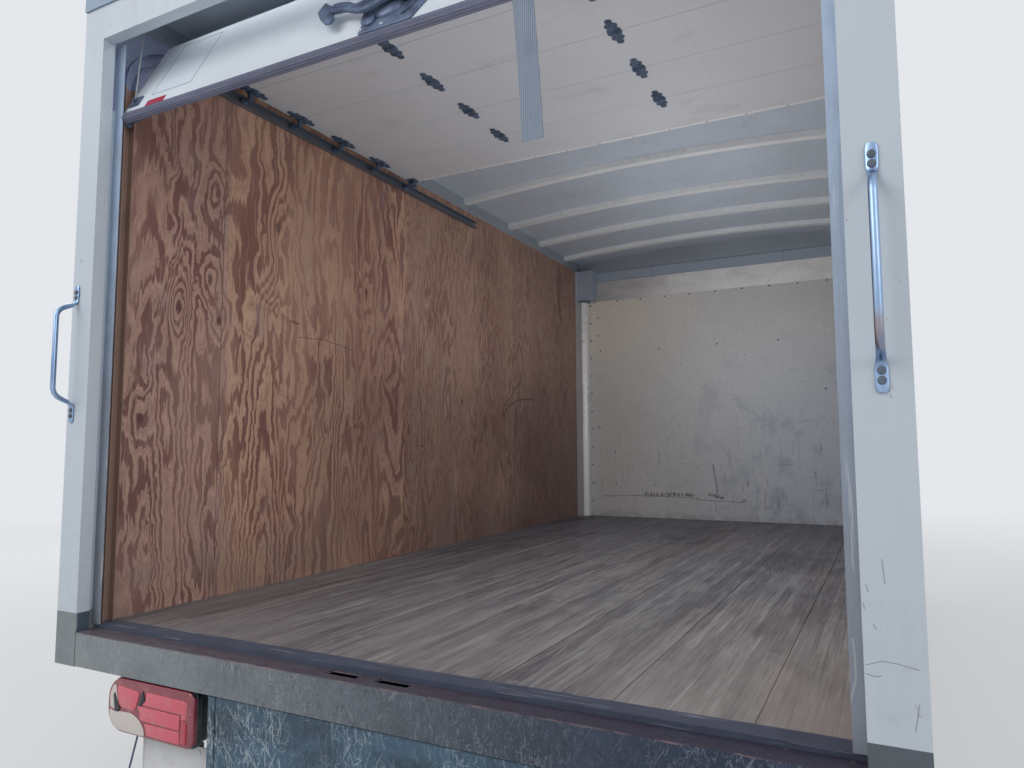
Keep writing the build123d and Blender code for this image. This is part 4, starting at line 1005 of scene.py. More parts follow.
def ribbed_rubber(name, colour):
    """Seal: dusty rubber whose ribs are rubbed pale along their crests."""
    rubber = Finish(name, roughness=0.6)
    offset = rubber.vector("SUBTRACT", rubber.place, PANEL_FOOT)
    waves = []
    for way, start, pitch in ((PANEL_UP, 0.026, 0.012), (PANEL_OUT, -0.003, 0.0085)):
        far = rubber.vector("DOT_PRODUCT", offset, way, output="Value") + start
        waves.append((far * (2 * math.pi / pitch) + -math.pi / 2).sine())
    crest = rubber.most(*waves).span(0.35, 1.0)
    dust = rubber.noise(14.0, (0.3, 1, 1), detail=5.0, roughness=0.65).span(0.4, 0.7)
    rubber.tone = rubber.mix(dust * 0.45, dull(colour, 0.8), dull(colour, 1.5))
    rubber.lay(crest * rubber.noise(9.0, (1, 1, 1), detail=3.0).span(0.3, 0.6, 0.25, 0.6),
               screen(160, 160, 172))
    streaks = rubber.noise(120.0, (0.03, 1, 1), detail=3.0)
    rubber.lay(streaks.span(0.52, 0.75, 0.0, 0.35), dull(colour, 0.45))
    return rubber.done(Normal=rubber.bump(rubber.noise(420.0, detail=2.0), 0.0004, 0.4))


def chrome(name):
    """Polished bar under a dull bluish film, with faint rubbing along it."""
    metal = Finish(name, metallic=1.0, roughness=0.3)
    film = metal.noise(20.0, (1, 1, 0.3), detail=5.0, roughness=0.65)
    metal.tone = metal.mix(film.span(0.3, 0.7), screen(130, 156, 192), screen(158, 182, 212))
    rubbing = metal.noise(260.0, (1, 1, 0.05), detail=2.0)
    worn = metal.near_axis(metal.z, 0.945, 0.012, 0.035) * metal.x.span(0.0, 0.1) * film.span(0.3, 0.6)
    metal.lay(worn * 0.7, screen(164, 138, 122))
    return metal.done(Roughness=film.span(0.3, 0.7, 0.3, 0.42), Normal=metal.bump(rubbing, 0.0002, 0.3))


def wire_rope(name):
    """Twisted steel wire."""
    wire = Finish(name, metallic=0.9, roughness=0.35)
    twist = (wire.z * 1600.0 + wire.x * 1400.0).sine()
    wire.tone = wire.mix(twist.span(-1, 1), screen(150, 152, 156), screen(226, 228, 230))
    return wire.done(Normal=wire.bump(twist, 0.0006, 0.8))


# Every finish by its name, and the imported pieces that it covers
FINISHES = {}
COVERED = {
    "post_paint": ("rear_posts", "rear_header"),
    "wall_paint": ("side_walls",),
    "base": ("rear_sill", "post_bases"),
    "worn_steel": ("threshold_bar",),
    "step": ("step_panel",),
    "frame": ("long_sills", "cross_members", "chassis_brackets", "step_brackets", "plate_bracket"),
    "plywood": ("linings",),
    "floor": ("floor_boards",),
    "panel": ("front_lining",),
    "roof": ("roof_skin",),
    "front_sheet": ("front_wall",),
    "cap": ("rear_cap",),
    "aluminium": ("front_corner_posts", "front_cap"),
    "base_rail": ("base_rails",),
    "top_rail": ("top_rails",),
    "inner_post": ("front_inner_posts",),
    "rear_tracks": ("vertical_tracks",),
    "bent_tracks": ("bent_tracks",),
    "tracks": ("overhead_tracks",),
    "stops": ("door_stops",),
    "bows": ("roof_bows",),
    "band": ("front_band",),
    "door": ("door_bottom_panel", *(f"door_panel_{number}" for number in range(2, 7))),
    "rubber": ("door_seal",),
    "hardware": ("door_hinges", "door_rollers", "counterbalance", "cable_brackets"),
    "latch": ("latch_plate", "latch_lever"),
    "rope": ("lift_cables",),
    "chrome": ("grab_handles",),
    "lamp_black": ("lamp_housings",),
    "lamp_red": ("lamp_lenses", "marker_lamps"),
    "plate": ("licence_plate",),
}


class CARGO_OT_finishes(bpy.types.Operator):
    """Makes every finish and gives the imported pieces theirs"""

    bl_idname = "cargo.finishes"
    bl_label = "Finishes on the packed pieces"

    def execute(self, context):
        paints, woods = context.scene.cargo_paints, context.scene.cargo_woods
        FINISHES.update({
            "post_paint": body_paint("post_paint", paints.body),
            "wall_paint": body_paint("wall_paint", paints.body, marks=False),
            "base": worn_base("base_paint", dull(paints.base, 1.08), paints.base_dark),
            "worn_steel": worn_base("worn_steel", screen(72, 82, 100), screen(66, 72, 92), rust=False),
            "step": step_paint("step_paint", paints.step),
            "frame": plain_paint("frame_paint", paints.frame, 0.6, 0.3),
            "plywood": plywood("plywood", woods.ply_light, woods.ply_dark),
            "floor": floor_wood("floor_wood", woods.floor_light, woods.floor_dark),
            "panel": scuffed_panel("front_panel", woods.panel),
            "roof": metal_sheet("roof_sheet", paints.roof, 0.45, 0.1, rivets=(0.1, ROOF_ROWS, 0.006),
                                across=True),
            "aluminium": metal_sheet("mill_aluminium", paints.aluminium, 0.42, 0.6),
            "base_rail": metal_sheet("base_rail", paints.aluminium, 0.42, 0.6,
                                     rivets=(0.076, (0.110, 0.200), 0.006)),
            "top_rail": metal_sheet("top_rail", paints.aluminium, 0.42, 0.6, rivets=(0.076, (2.262,), 0.006)),
            "zinc": metal_sheet("zinc", paints.zinc, 0.48, 0.45, spangle=0.35),
            "bows": metal_sheet("bow_zinc", paints.bow, 0.42, 0.10, spangle=0.15, brushed=(0.04, 1, 1)),
            "cap": metal_sheet("cap_metal", paints.cap, 0.5, 0.25, brushed=(0.04, 1, 1)),
            "stops": stop_metal("stop_zinc", screen(182, 201, 226)),
            "rear_tracks": metal_sheet("dirty_track", screen(150, 124, 112), 0.55, 0.0),
            "bent_tracks": metal_sheet("bent_track_zinc", screen(140, 150, 176), 0.5, 0.2, spangle=0.2),
            "shield": metal_sheet("shield_zinc", screen(142, 150, 176), 0.5, 0.1, spangle=0.2),
            "tracks": metal_sheet("track_zinc", dull(paints.zinc, 0.62), 0.5, 0.4, spangle=0.2),
            "inner_post": metal_sheet("inner_post_zinc", screen(168, 178, 192), 0.5, 0.1, spangle=0.2),
            "bright_strip": metal_sheet("bright_strip", screen(252, 250, 247), 0.30, 0.35, stained=0.1,
                                        brushed=(1, 1, 0.04)),
            "dull_strip": metal_sheet("dull_strip", screen(176, 174, 176), 0.4, 0.2, stained=0.2,
                                      brushed=(1, 1, 0.04)),
            "front_sheet": two_sided("front_sheet", paints.body, paints.sheet),
            "band": sheet_with_painted_reflection("bright_sheet", screen(255, 252, 248)),
            "door": door_paint("door_paint", paints.door_out, paints.door_in),
            "rubber": ribbed_rubber("seal_rubber", paints.rubber),
            "hardware": plain_paint("dark_hardware", paints.hardware, 0.45, 0.4, 0.3),
            "latch": plain_paint("latch_steel", paints.latch, 0.42, 0.35, 0.35),
            "rivet": metal_sheet("rivet_steel", screen(206, 208, 212), 0.35, 0.7),
            "rope": wire_rope("steel_rope"),
            "webbing": ribbed_webbing("strap_webbing", screen(136, 150, 170)),
            "chrome": chrome("handle_chrome"),
            "lamp_black": moulded("lamp_black", screen(36, 42, 54)),
            "lamp_red": red_lens("lamp_red", screen(222, 92, 112)),
            "lamp_dark": red_lens("lamp_dark", screen(142, 52, 68)),
            "lamp_clear": red_lens("lamp_clear", screen(214, 206, 202), clear=True),
            "lamp_bright": red_lens("lamp_bright", screen(190, 40, 66)),
            "plate": body_paint("plate_white", screen(222, 224, 228), marks=False),
            "reflector_red": red_lens("reflector_red", screen(196, 38, 70)),
            "screw": plain_paint("handle_screw", screen(84, 94, 106), 0.4, 0.2, 0.2),
            "label": body_paint("blank_label", screen(222, 232, 244), marks=False),
        })
        for name, nodes in COVERED.items():
            dress(FINISHES[name], *nodes)
        return {"FINISHED"}


class CARGO_OT_hinges(bpy.types.Operator):
    """Pressed hinges under the joints of the overhead panels, with their pins and rivets"""

    bl_idname = "cargo.hinges"
    bl_label = "Door hinges"

    def execute(self, context):
        wall = context.scene.cargo_fittings.hinge_wall
        under = OVERHEAD_UNDER
        quarter = [(25, 9), (24, 16), (18, 22), (17, 27), (23, 35), (24, 42), (19, 50), (12, 54), (10, 58),
                   (13, 64), (13, 71), (8, 78), (0, 79.5)]
        right = [(x, -y) for x, y in reversed(quarter)] + quarter
        outline = right[:-1] + [(-x, y) for x, y in reversed(quarter)] + [(-x, -y) for x, y in quarter][:-1]
        leaf = loft("hinge_leaf", [[Vector((x * MM, y * MM, height)) for x, y in outline]
                                   for height in (0.0, -wall)])
        soften(leaf, 0.0009)
        pressings = []
        for side in (-1, 1):
            base = [Vector((x * MM, (y * side) * MM, -wall))
                    for x, y in ((14, 14), (-14, 14), (-11, 42), (11, 42))]
            middle = sum(base, Vector()) / 4
            top = [middle + (point - middle) * 0.72 - UP * 3.2 * MM for point in base]
            pressings.append(loft("hinge_pressing", [base, top]))
        parts = [leaf, *pressings]
        for start, end in ((-24, -13), (-12.2, -4), (-3.2, 3.2), (4, 12.2), (13, 24)):
            rings = [circle((x * MM, 0, -3.4 * MM), BACK * r * MM, UP * r * MM, 14)
                     for x, r in ((start, 5.6), (start + 0.8, 6.6), (end - 0.8, 6.6), (end, 5.6))]
            parts.append(loft("hinge_knuckle", rings))
        pin = loft("hinge_pin", [circle((x * MM, 0, -3.4 * MM), BACK * 3 * MM, UP * 3 * MM, 10)
                                 for x in (-23.9, 23.9)])
        model = join("hinge_model", [*parts, pin])
        columns = (-EDGE_HINGE, -INNER_HINGE, INNER_HINGE, EDGE_HINGE)
        places = [at(x, joint, under / MM) for joint in JOINTS for x in columns]
        hinges = spread("door_hinges_pressed", model, [Matrix.Translation(place) for place in places])
        fixtures = []
        for side in (-1, 1):
            middle = at(side * EDGE_HINGE, LAST_ROLLER, under / MM)
            plate = box("top_fixture_plate", middle + Vector((-25, -30, -4)) * MM,
                        middle + Vector((25, 28, 0)) * MM, 1.2 * MM)
            tube = loft("top_fixture_tube", [
                circle(middle + Vector((x * MM, 0, -ROLLER_DROP * MM)), BACK * 8 * MM, UP * 8 * MM, 16)
                for x in (-23, 23)])
            webs = [box("top_fixture_web", middle + Vector((x - 2, -18, -38)) * MM,
                        middle + Vector((x + 2, 18, -2)) * MM, 0.6 * MM) for x in (-18, 18)]
            fixtures += [plate, soften(tube, 0.8 * MM), *webs]
        hinges = join("door_hinges_pressed", [hinges, *fixtures])
        fit(hinges, "hardware", "dark_hardware", "door_hinges")
        rivet = disc("hinge_rivet", 4.0 * MM, 2.0 * MM, 10)
        moves = []
        for place in places:
            for x, y in ((-8, 34), (8, 34), (0, 68), (-8, -34), (8, -34), (0, -68)):
                low = 3.2 * MM if abs(y) < 45 else 0.0
                moves.append(facing(place + Vector((x * MM, y * MM, -wall - low)), -UP))
        fit(spread("door_hinge_rivets", rivet, moves), "hardware", "dark_hardware")
        return {"FINISHED"}


class CARGO_OT_rollers(bpy.types.Operator):
    """Grooved rollers on their stems, in sleeves on the edge hinges and the bottom fixtures"""

    bl_idname = "cargo.rollers"
    bl_label = "Door rollers"

    def execute(self, context):
        under = OVERHEAD_UNDER
        line = under - ROLLER_DROP * MM
        profile = [(-10, 5), (-9.4, 12), (-8, 14.6), (-3, 15), (-2, 13.2), (2, 13.2), (3, 15), (8, 14.6),
                   (9.4, 12), (10, 5)]
        rings = [circle((x * MM, 0, 0), BACK * r * MM, UP * r * MM, 24) for x, r in profile]
        wheel = loft("roller_wheel", rings)
        wheel.data.transform(Matrix.Translation((1.1209, 0, 0)))
        stem = loft("roller_stem", [circle((x * MM, 0, 0), BACK * r * MM, UP * r * MM, 14)
                                    for x, r in ((1074, 4), (1075, 5), (1126, 5), (1129, 6.5), (1130.4, 5))])
        model = join("roller_model", [wheel, stem])
        depth, track_rear = PANEL_WALL + 15, 99
        low_up = (track_rear - FOOT_REAR - depth * PANEL_UP.z) / PANEL_UP.y
        foot = on_panel(0, low_up, -depth)
        moves = [Matrix.Translation((0, REAR_Y + rear * MM, line)) for rear in (*JOINTS, LAST_ROLLER)]
        moves.append(Matrix.Translation((0, foot.y, foot.z)))
        wheels = spread("door_rollers_right", model, moves)
        level = under / MM
        sleeves = [box("roller_carrier", at(1073, rear - 11, level - 42.5), at(1087, rear + 11, level - 10.4),
                       2.2 * MM, 3) for rear in JOINTS]
        base = [on_panel(x, up, -PANEL_WALL) for x, up in ((1060, 0), (1092, 0), (1092, 70), (1060, 70))]
        top = [on_panel(x, up, -43) for x, up in ((1064, 3), (1088, 3), (1088, 50), (1064, 50))]
        sleeves.append(soften(loft("bottom_fixture", [base, top]), 2.0 * MM))
        wheels = both_sides("door_rollers_turned", [wheels, *sleeves])
        fit(wheels, "hardware", "dark_hardware", "door_rollers")
        return {"FINISHED"}


class CARGO_OT_seal(bpy.types.Operator):
    """Ribbed rubber seal along the door's lower edge"""

    bl_idname = "cargo.seal"
    bl_label = "Door seal"

    def execute(self, context):
        rib = context.scene.cargo_fittings.seal_rib / MM
        section = [(-22.5, 0), (-23, -2)]
        for number in range(4):
            top = -3 - number * 5.5
            section += [(-23, top), (-23 + rib, top - 1.6), (-23 + rib, top - 3.6), (-23, top - 5)]
        section += [(-21, -25.6), (-12, -26), (-4, -25.8), (0, -24)]
        for number in range(4):
            top = -22.5 + number * 5.5
            section += [(3, top), (3 - rib, top + 1.4), (3 - rib, top + 3.4), (3, top + 4.8)]
        section += [(2.6, 0)]
        generator = random.Random(7)
        rings = []
        steps = 88
        sway = [0.0] * (steps + 1)
        for number in range(1, steps):
            sway[number] = sway[number - 1] * 0.7 + generator.uniform(-0.35, 0.35)
        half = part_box("door_seal")[1].x / MM
        for number in range(steps + 1):
            x = -half + 2 * half * number / steps
            ring = []
            for out, up in section:
                ring.append(on_panel(x, up + 0.9 * max(0.0, sway[number]) * up / -26,
                                     out * (1 - 0.02 * abs(sway[number]))))
            rings.append(ring)
        fit(loft("door_seal_ribbed", rings), "rubber", "black_rubber", "door_seal", angle=50)
        return {"FINISHED"}


class CARGO_OT_latch(bpy.types.Operator):
    """Lever latch: base plate, hub, cranked arm with a hooked head"""

    bl_idname = "cargo.latch"
    bl_label = "Door latch"

    def execute(self, context):
        def slab(name, outline, low, high, edge):
            """A pressed piece on the leaning panel between two distances out of it."""
            piece = loft(name, [[on_panel(x, up, out) for x, up in outline] for out in (low, high)])
            return soften(piece, edge * MM, 3, 40)

        def shape(radius, corners):
            """The outline with rounded corners, in millimetres."""
            return flat_outline(corners, radius, 3)

        base = shape(7, [(-88, 0.6), (89, 0.6), (101, 32), (116, 64), (135, 100), (135, 150), (112, 170),
                         (-66, 170), (-99, 140), (-98, 92), (-92, 60), (-89, 30)])
        plate = slab("latch_base", base, 0.2, 5.6, 1.4)
        side = shape(9, [(-88, 40), (-58, 24), (-42, 34), (-44, 70), (-64, 104), (-98, 108), (-93, 72)])
        left = slab("latch_side_pressing", side, 5.0, 13.0, 4.0)
        rib = shape(3, [(46, 36), (53, 33), (72, 48), (92, 84), (83, 88), (64, 56)])
        rim = slab("latch_side_rib", rib, 5.0, 9.5, 1.6)
        dome = loft("latch_dome", [circle(on_panel(-8, 92, out), ACROSS * r * MM, PANEL_UP * r * 1.02 * MM, 36)
                                   for out, r in ((5, 47), (10, 46), (14, 42), (17, 35), (18.5, 17))])
        hub = loft("latch_hub", [circle(on_panel(60, 118, out), ACROSS * r * MM, PANEL_UP * r * MM, 28)
                                 for out, r in ((6, 26), (20, 26), (24, 22), (26, 14), (36, 13), (38.2, 10))])
        arm = shape(14, [(88, 108), (84, 138), (20, 142), (-40, 131), (-86, 116), (-114, 108), (-136, 129),
                         (-163, 143), (-196, 152), (-212, 150), (-210, 112), (-190, 108), (-149, 100),
                         (-124, 84), (-105, 72), (-76, 60), (-40, 66), (10, 88), (60, 92)])
        lever = slab("latch_arm", arm, 26.5, 37.6, 2.4)
        head = shape(5, [(-261, 190), (-272, 146), (-246, 104), (-212, 66), (-189, 58), (-181, 78), (-198, 106),
                         (-212, 150), (-232, 163)])
        middle_x, middle_up = -236, 130
        rings = []
        for out, share in ((25.6, 0.9), (27.2, 1.0), (33.0, 1.0), (38.2, 0.62)):
            rings.append([on_panel(middle_x + (x - middle_x) * share, middle_up + (up - middle_up) * share, out)
                          for x, up in head])
        hook = loft("latch_hook", rings)
        crest = shape(2, [(-206, 138), (-166, 128), (-140, 116), (-116, 98), (-84, 98), (-30, 112), (40, 122),
                          (40, 117), (-30, 106), (-84, 91), (-118, 92), (-142, 109), (-168, 121), (-206, 130)])
        ridge = slab("latch_arm_ridge", crest, 36.5, 39.6, 1.2)
        fit(join("latch_pressed", [plate, left, rim, dome]), "latch", "latch_steel", "latch_plate")
        fit(join("latch_lever_cranked", [hub, lever, hook, ridge]), "latch", "latch_steel", "latch_lever")
        rivet = disc("latch_rivet", 5.5 * MM, 3.0 * MM, 14)
        places = [(-84, 22), (-11, 19), (-88, 152), (0, 158), (122, 150), (108, 86)]
        moves = [facing(on_panel(x, up, 5.6), PANEL_OUT) for x, up in places]
        moves.append(facing(on_panel(60, 118, 38.0), PANEL_OUT))
        fit(spread("latch_rivets", rivet, moves), "rivet", "latch_steel")
        return {"FINISHED"}


class CARGO_OT_strap(bpy.types.Operator):
    """Flat webbing strap that hangs from the door's lower edge"""

    bl_idname = "cargo.strap"
    bl_label = "Pull strap"

    def execute(self, context):
        fittings = context.scene.cargo_fittings
        half, wall = fittings.strap_width / 2, fittings.strap_wall
        line = [on_panel(0, 58, 4.6), on_panel(0, 30, 5.0), on_panel(0, 4, 5.2), on_panel(0, -18, 5.6)]
        line = [(point.y, point.z) for point in line]
        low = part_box("pull_strap")[0].z + 0.001
        count = 22
        start_y, start_z = line[-1]
        for number in range(1, count + 1):
            share = number / count
            line.append((start_y + 0.0035 * math.sin(math.pi * share) - 0.002 * share,
                         start_z - 0.012 - (start_z - 0.012 - low) * share))
        rings = []
        for number, (y, z) in enumerate(line):
            after, before = line[min(number + 1, len(line) - 1)], line[max(number - 1, 0)]
            way = Vector((0, after[0] - before[0], after[1] - before[1])).normalized()
            out = Vector((0, way.z, -way.y))
            if out.y > 0:
                out = -out
            fall = max(0.0, (start_z - z) / (start_z - low))
            x = 0.428 + 0.028 * fall
            curl = 0.0022 * math.sin(5.0 * fall)
            centre = Vector((x, y, z))
            ring = []
            across = (-1, -0.5, 0, 0.5, 1)
            for side, thick in [(side, 0) for side in across] + [(side, 1) for side in reversed(across)]:
                bow = curl * (1 - side * side)
                ring.append(centre + ACROSS * side * half + out * (wall * (thick - 0.5) + bow))
            rings.append(ring)
        strap = loft("pull_strap_webbing", rings)
        fit(strap, "webbing", "webbing", "pull_strap", angle=50)
        tab = [on_panel(x, up, 0.4) for x, up in ((399, 22), (457, 22), (457, 50), (399, 50))]
        plate = loft("strap_plate", [[point + PANEL_OUT * out * MM for point in tab] for out in (6.2, 9.2)])
        fit(soften(plate, 0.8 * MM), "hardware", "dark_hardware")
        bolt = disc("strap_bolt", 6 * MM, 3.4 * MM, 12)
        moves = [facing(on_panel(x, 36, 9.3), PANEL_OUT) for x in (413, 443)]
        fit(spread("strap_bolts", bolt, moves), "rivet", "dark_hardware")
        return {"FINISHED"}


# A grab handle's end, in millimetres: out of the post, along the bar from its tip, the half axes of its section
# (0 where it is the round bar) and the way that the bar takes there, backward and up
HANDLE_END = [
    (3.0, 0.4, 7.4, 2.2, (0, 1)), (3.0, 4, 10.2, 2.6, (0, 1)), (3.0, 12, 11.4, 2.6, (0, 1)),
    (3.0, 44, 11.2, 2.6, (0, 1)), (3.6, 52, 9.8, 3.0, (0, 1)), (8, 60, 8.8, 5.0, (-0.45, 0.9)),
    (20, 68, 8.3, 7.2, (-0.8, 0.6)), (38, 76, 0, 0, (-0.93, 0.36)), (50, 82, 0, 0, (-0.78, 0.62)),
    (61, 94, 0, 0, (-0.42, 0.9)), (66, 108, 0, 0, (0, 1)),
]


class CARGO_OT_handles(bpy.types.Operator):
    """Bent chrome grab handles with flattened ends, each on two screws"""

    bl_idname = "cargo.handles"
    bl_label = "Grab handles"

    def execute(self, context):
        radius = context.scene.cargo_fittings.handle_radius / MM
        bars, moves = [], []
        for x, low, high in ((-1193, 836, 1288), (1169, 844, 1304)):
            rings = []
            for sign, end, stations in ((1, low, HANDLE_END), (-1, high, HANDLE_END[::-1])):
                for out, along, across, thick, (way_y, way_z) in stations:
                    way = Vector((0, sign * way_y, way_z)).normalized()
                    normal = Vector((0, -way.z, way.y))
                    half_axes = ACROSS * (across or radius) * MM, normal * (thick or radius) * MM
                    rings.append(circle(at(x, -out, end + sign * along), *half_axes, 20))
            bars.append(loft("grab_bar", rings))
            moves += [facing(at(x, -5.6, end), BACK, 0.4) for end in (low + 22, low + 40, high - 22, high - 40)]
        fit(join("grab_handles_bent", bars), "chrome", "handle_chrome", "grab_handles", angle=50)
        screw = disc("handle_screw", 8.0 * MM, 3.0 * MM, 18)
        cross = [box("screw_cross", (-3.4 * MM, -0.7 * MM, 2.0 * MM), (3.4 * MM, 0.7 * MM, 2.7 * MM)),
                 box("screw_cross", (-0.7 * MM, -3.4 * MM, 2.0 * MM), (0.7 * MM, 3.4 * MM, 2.7 * MM))]
        model = join("handle_screw_model", [screw, *cross])
        fit(spread("grab_handle_screws", model, moves), "screw", "handle_chrome")
        return {"FINISHED"}


class CARGO_OT_tail_lamps(bpy.types.Operator):
    """Tail lamps: rounded red lens with ribs, clear corner, bright bar and black housing"""

    bl_idname = "cargo.tail_lamps"
    bl_label = "Tail lamps"

    def execute(self, context):
        low, high = LENS_LOW.z / MM, LENS_HIGH.z / MM
        inner, outer = 576, 948

        def face(x_low, x_high, z_low, z_high, round_outer, round_inner, steps=7):
            """A lens outline from behind, rounder at its outer end."""
            corners = [(x_low, z_low, round_inner), (x_high, z_low, round_outer), (x_high, z_high, round_outer),
                       (x_low, z_high, round_inner)]
            points = []
            for number, (x, z, radius) in enumerate(corners):
                turn = -math.pi + number * math.pi / 2
                middle_x = x + (radius if x == x_low else -radius)
                middle_z = z + (radius if z == z_low else -radius)
                for step in range(steps + 1):
                    angle = turn + math.pi / 2 * step / steps
                    points.append((middle_x + radius * math.cos(angle), middle_z + radius * math.sin(angle)))
            return points

        def slab(name, outline, start, end, edge):
            """A piece with this outline from behind, between two distances forward of the rear face."""
            piece = loft(name, [[at(x, rear, z) for x, z in outline] for rear in (start, end)])
            return soften(piece, edge * MM, 3, 50)

        def part(radius, *corners):
            """An outline from distances in from the outer end and up from the lens's foot."""
            return flat_outline([(outer - across, low + up) for across, up in corners], radius, 5)

        body = slab("lens_body", face(inner, outer, low, high, 62, 26), 20, 1.5, 5.0)
        fit(both_sides("tail_lamp_lenses", [body]), "lamp_dark", "lamp_red", "lamp_lenses")
        fields = []
        for name, radius, front, edge, *corners in (
                ("top", 7, -0.6, 2.0, (156, 92), (336, 90), (340, 128), (176, 131), (172, 104)),
                ("middle", 6, -1.4, 2.0, (150, 48), (318, 46), (318, 86), (136, 88), (150, 66)),
                ("low", 6, -0.4, 2.0, (180, 10), (318, 8), (318, 42), (168, 42), (176, 26)),
                ("outer", 12, -0.8, 2.6, (52, 80), (66, 72), (124, 70), (146, 124), (120, 128), (44, 134)),
                ("edge", 5, 0.4, 1.4, (322, 74), (342, 78), (346, 126), (326, 124))):
            fields.append(slab(f"lens_field_{name}", part(radius, *corners), 2.6, front, edge))
        fit(both_sides("tail_lamp_fields", fields), "lamp_red", "lamp_red")
        bar = slab("lens_bar", part(5, (322, 12), (346, 10), (346, 70), (328, 76)), 2.6, -1.6, 2.0)
        fit(both_sides("tail_lamp_bar", [bar]), "lamp_bright", "lamp_red")
        quarter = part(10, (14, 28), (44, 6), (172, 5), (166, 26), (152, 42), (132, 54), (104, 62), (60, 60),
                       (34, 56), (10, 62))
        sliver = part(8, (14, 66), (40, 62), (50, 76), (38, 134), (26, 132), (12, 104))
        clear = [slab("lens_quarter", quarter, 2.6, -1.0, 2.0), slab("lens_sliver", sliver, 2.6, -0.6, 1.6)]
        fit(both_sides("tail_lamp_clear", clear), "lamp_clear", "lamp_red")
        dark = [slab("lens_slot", part(4, (28, 106), (36, 112), (58, 68), (50, 56), (36, 60)), 0.2, -1.6, 0.6),
                slab("lens_wedge", part(4, (158, 132), (170, 106), (138, 76), (148, 112)), 2.6, -1.2, 1.0)]
        rim = slab("housing_rim", face(inner - 2, outer + 2, low - 2, high + 2, 60, 22), 30, 14, 2.0)
        lip = slab("housing_lip", face(inner + 2, outer - 3, low + 2, high - 2, 56, 18), 16, 5.0, 2.0)
        shell = slab("housing_shell", face(inner + 8, outer - 14, low + 6, high - 4, 44, 16), 84, 28, 6.0)
        boss = [slab("housing_boss", face(x - 16, x + 16, -20, 12, 15.5, 15.5, 6), 92, 70, 2.0)
                for x in (660, 860)]
        hanger = box("lamp_hanger", at(614, 68, 20), at(860, 74, 66.5), 0.8 * MM)
        housings = both_sides("tail_lamp_housings", [rim, lip, shell, hanger, *boss, *dark])
        fit(housings, "lamp_black", "lamp_black", "lamp_housings")
        bends = [(-846, 34, -84), (-851, 34, -100), (-884, 36, -196), (-888, 36, -208)]
        stay = loft("lamp_stay", [circle(at(*bend), ACROSS * 3 * MM, BACK * 3 * MM, 12) for bend in bends])
        fit(stay, "hardware", "frame_paint")
        return {"FINISHED"}


class CARGO_OT_markers(bpy.types.Operator):
    """Small domed clearance lamps on header and front cap"""

    bl_idname = "cargo.markers"
    bl_label = "Clearance lamps"

    def execute(self, context):
        side, rise = Vector((1, 0, 0)), Vector((0, 1, 0))

        def pill(half_width, half_height, level, bulge=0.92):
            """An outline with round ends, at one height above the base."""
            points = []
            for number in range(28):
                turn = 2 * math.pi * number / 28
                x = math.copysign(abs(math.cos(turn)) ** (1 - bulge / 2), math.cos(turn)) * half_width
                z = math.copysign(abs(math.sin(turn)) ** (1 - bulge / 2), math.sin(turn)) * half_height
                points.append(side * x * MM + rise * z * MM + UP * level * MM)
            return points

        lens = loft("marker_lens", [pill(28, 14.4, 4), pill(28, 14.4, 8), pill(25.5, 12.4, 12.4),
                                    pill(19, 8.2, 15.2), pill(9, 3.4, 15.9)])
        foot = loft("marker_foot", [pill(31, 17, 0), pill(31, 17, 3.2), pill(29.4, 15.6, 5.2),
                                    pill(28.4, 14.8, 5.6)])
        rear = [facing(at(x, -6, 2288), BACK) for x in (-1120, -150, 0, 150, 1120)]
        front = [facing(Vector((x * MM, 2.190, 2.281)), -BACK) for x in (-1080, 1080)]
        moves = rear + front
        fit(spread("marker_lamp_feet", foot, moves), "lamp_black", "lamp_red")
        fit(spread("marker_lamp_lenses", lens, moves), "lamp_red", "lamp_red", "marker_lamps")
        return {"FINISHED"}


class CARGO_OT_shell_rivets(bpy.types.Operator):
    """Rivets and lap strips on the walls and the front"""

    bl_idname = "cargo.shell_rivets"
    bl_label = "Wall rivets and seams"

    def execute(self, context):
        fittings = context.scene.cargo_fittings
        pitch, wall_x = fittings.rivet_pitch, WALL_HIGH.x
        rivet = disc("wall_rivet", fittings.rivet_radius, fittings.rivet_height, 8)
        moves = []
        low, high = WALL_LOW.z + 0.02, WALL_HIGH.z - 0.02
        columns = [WALL_LOW.y + 0.03 + 0.6096 * number for number in range(7)] + [WALL_HIGH.y - 0.03]
        rows = int((high - low) / pitch)
        for side in (-1, 1):
            for column in columns:
                for row in range(rows + 1):
                    moves.append(facing((side * (wall_x + 0.0012), column, low + (high - low) * row / rows),
                                        (side, 0, 0)))
        for x in (-1.02, -0.51, 0.0, 0.51, 1.02):
            for row in range(rows + 1):
                moves.append(facing((x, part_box("front_wall")[1].y, low + (high - low) * row / rows), (0, 1, 0)))
        fit(spread("wall_rivets", rivet, moves), "rivet", "white_paint", angle=60)
        strips = []
        for column in columns[2:7:2]:
            strips.append(box("lap_strip", (wall_x - 0.0004, column - 0.022, WALL_LOW.z + 0.001),
                              (wall_x + 0.0013, column + 0.022, WALL_HIGH.z - 0.001), 0.0005, 1))
        fit(both_sides("wall_lap_strips", strips), "wall_paint", "white_paint")
        return {"FINISHED"}


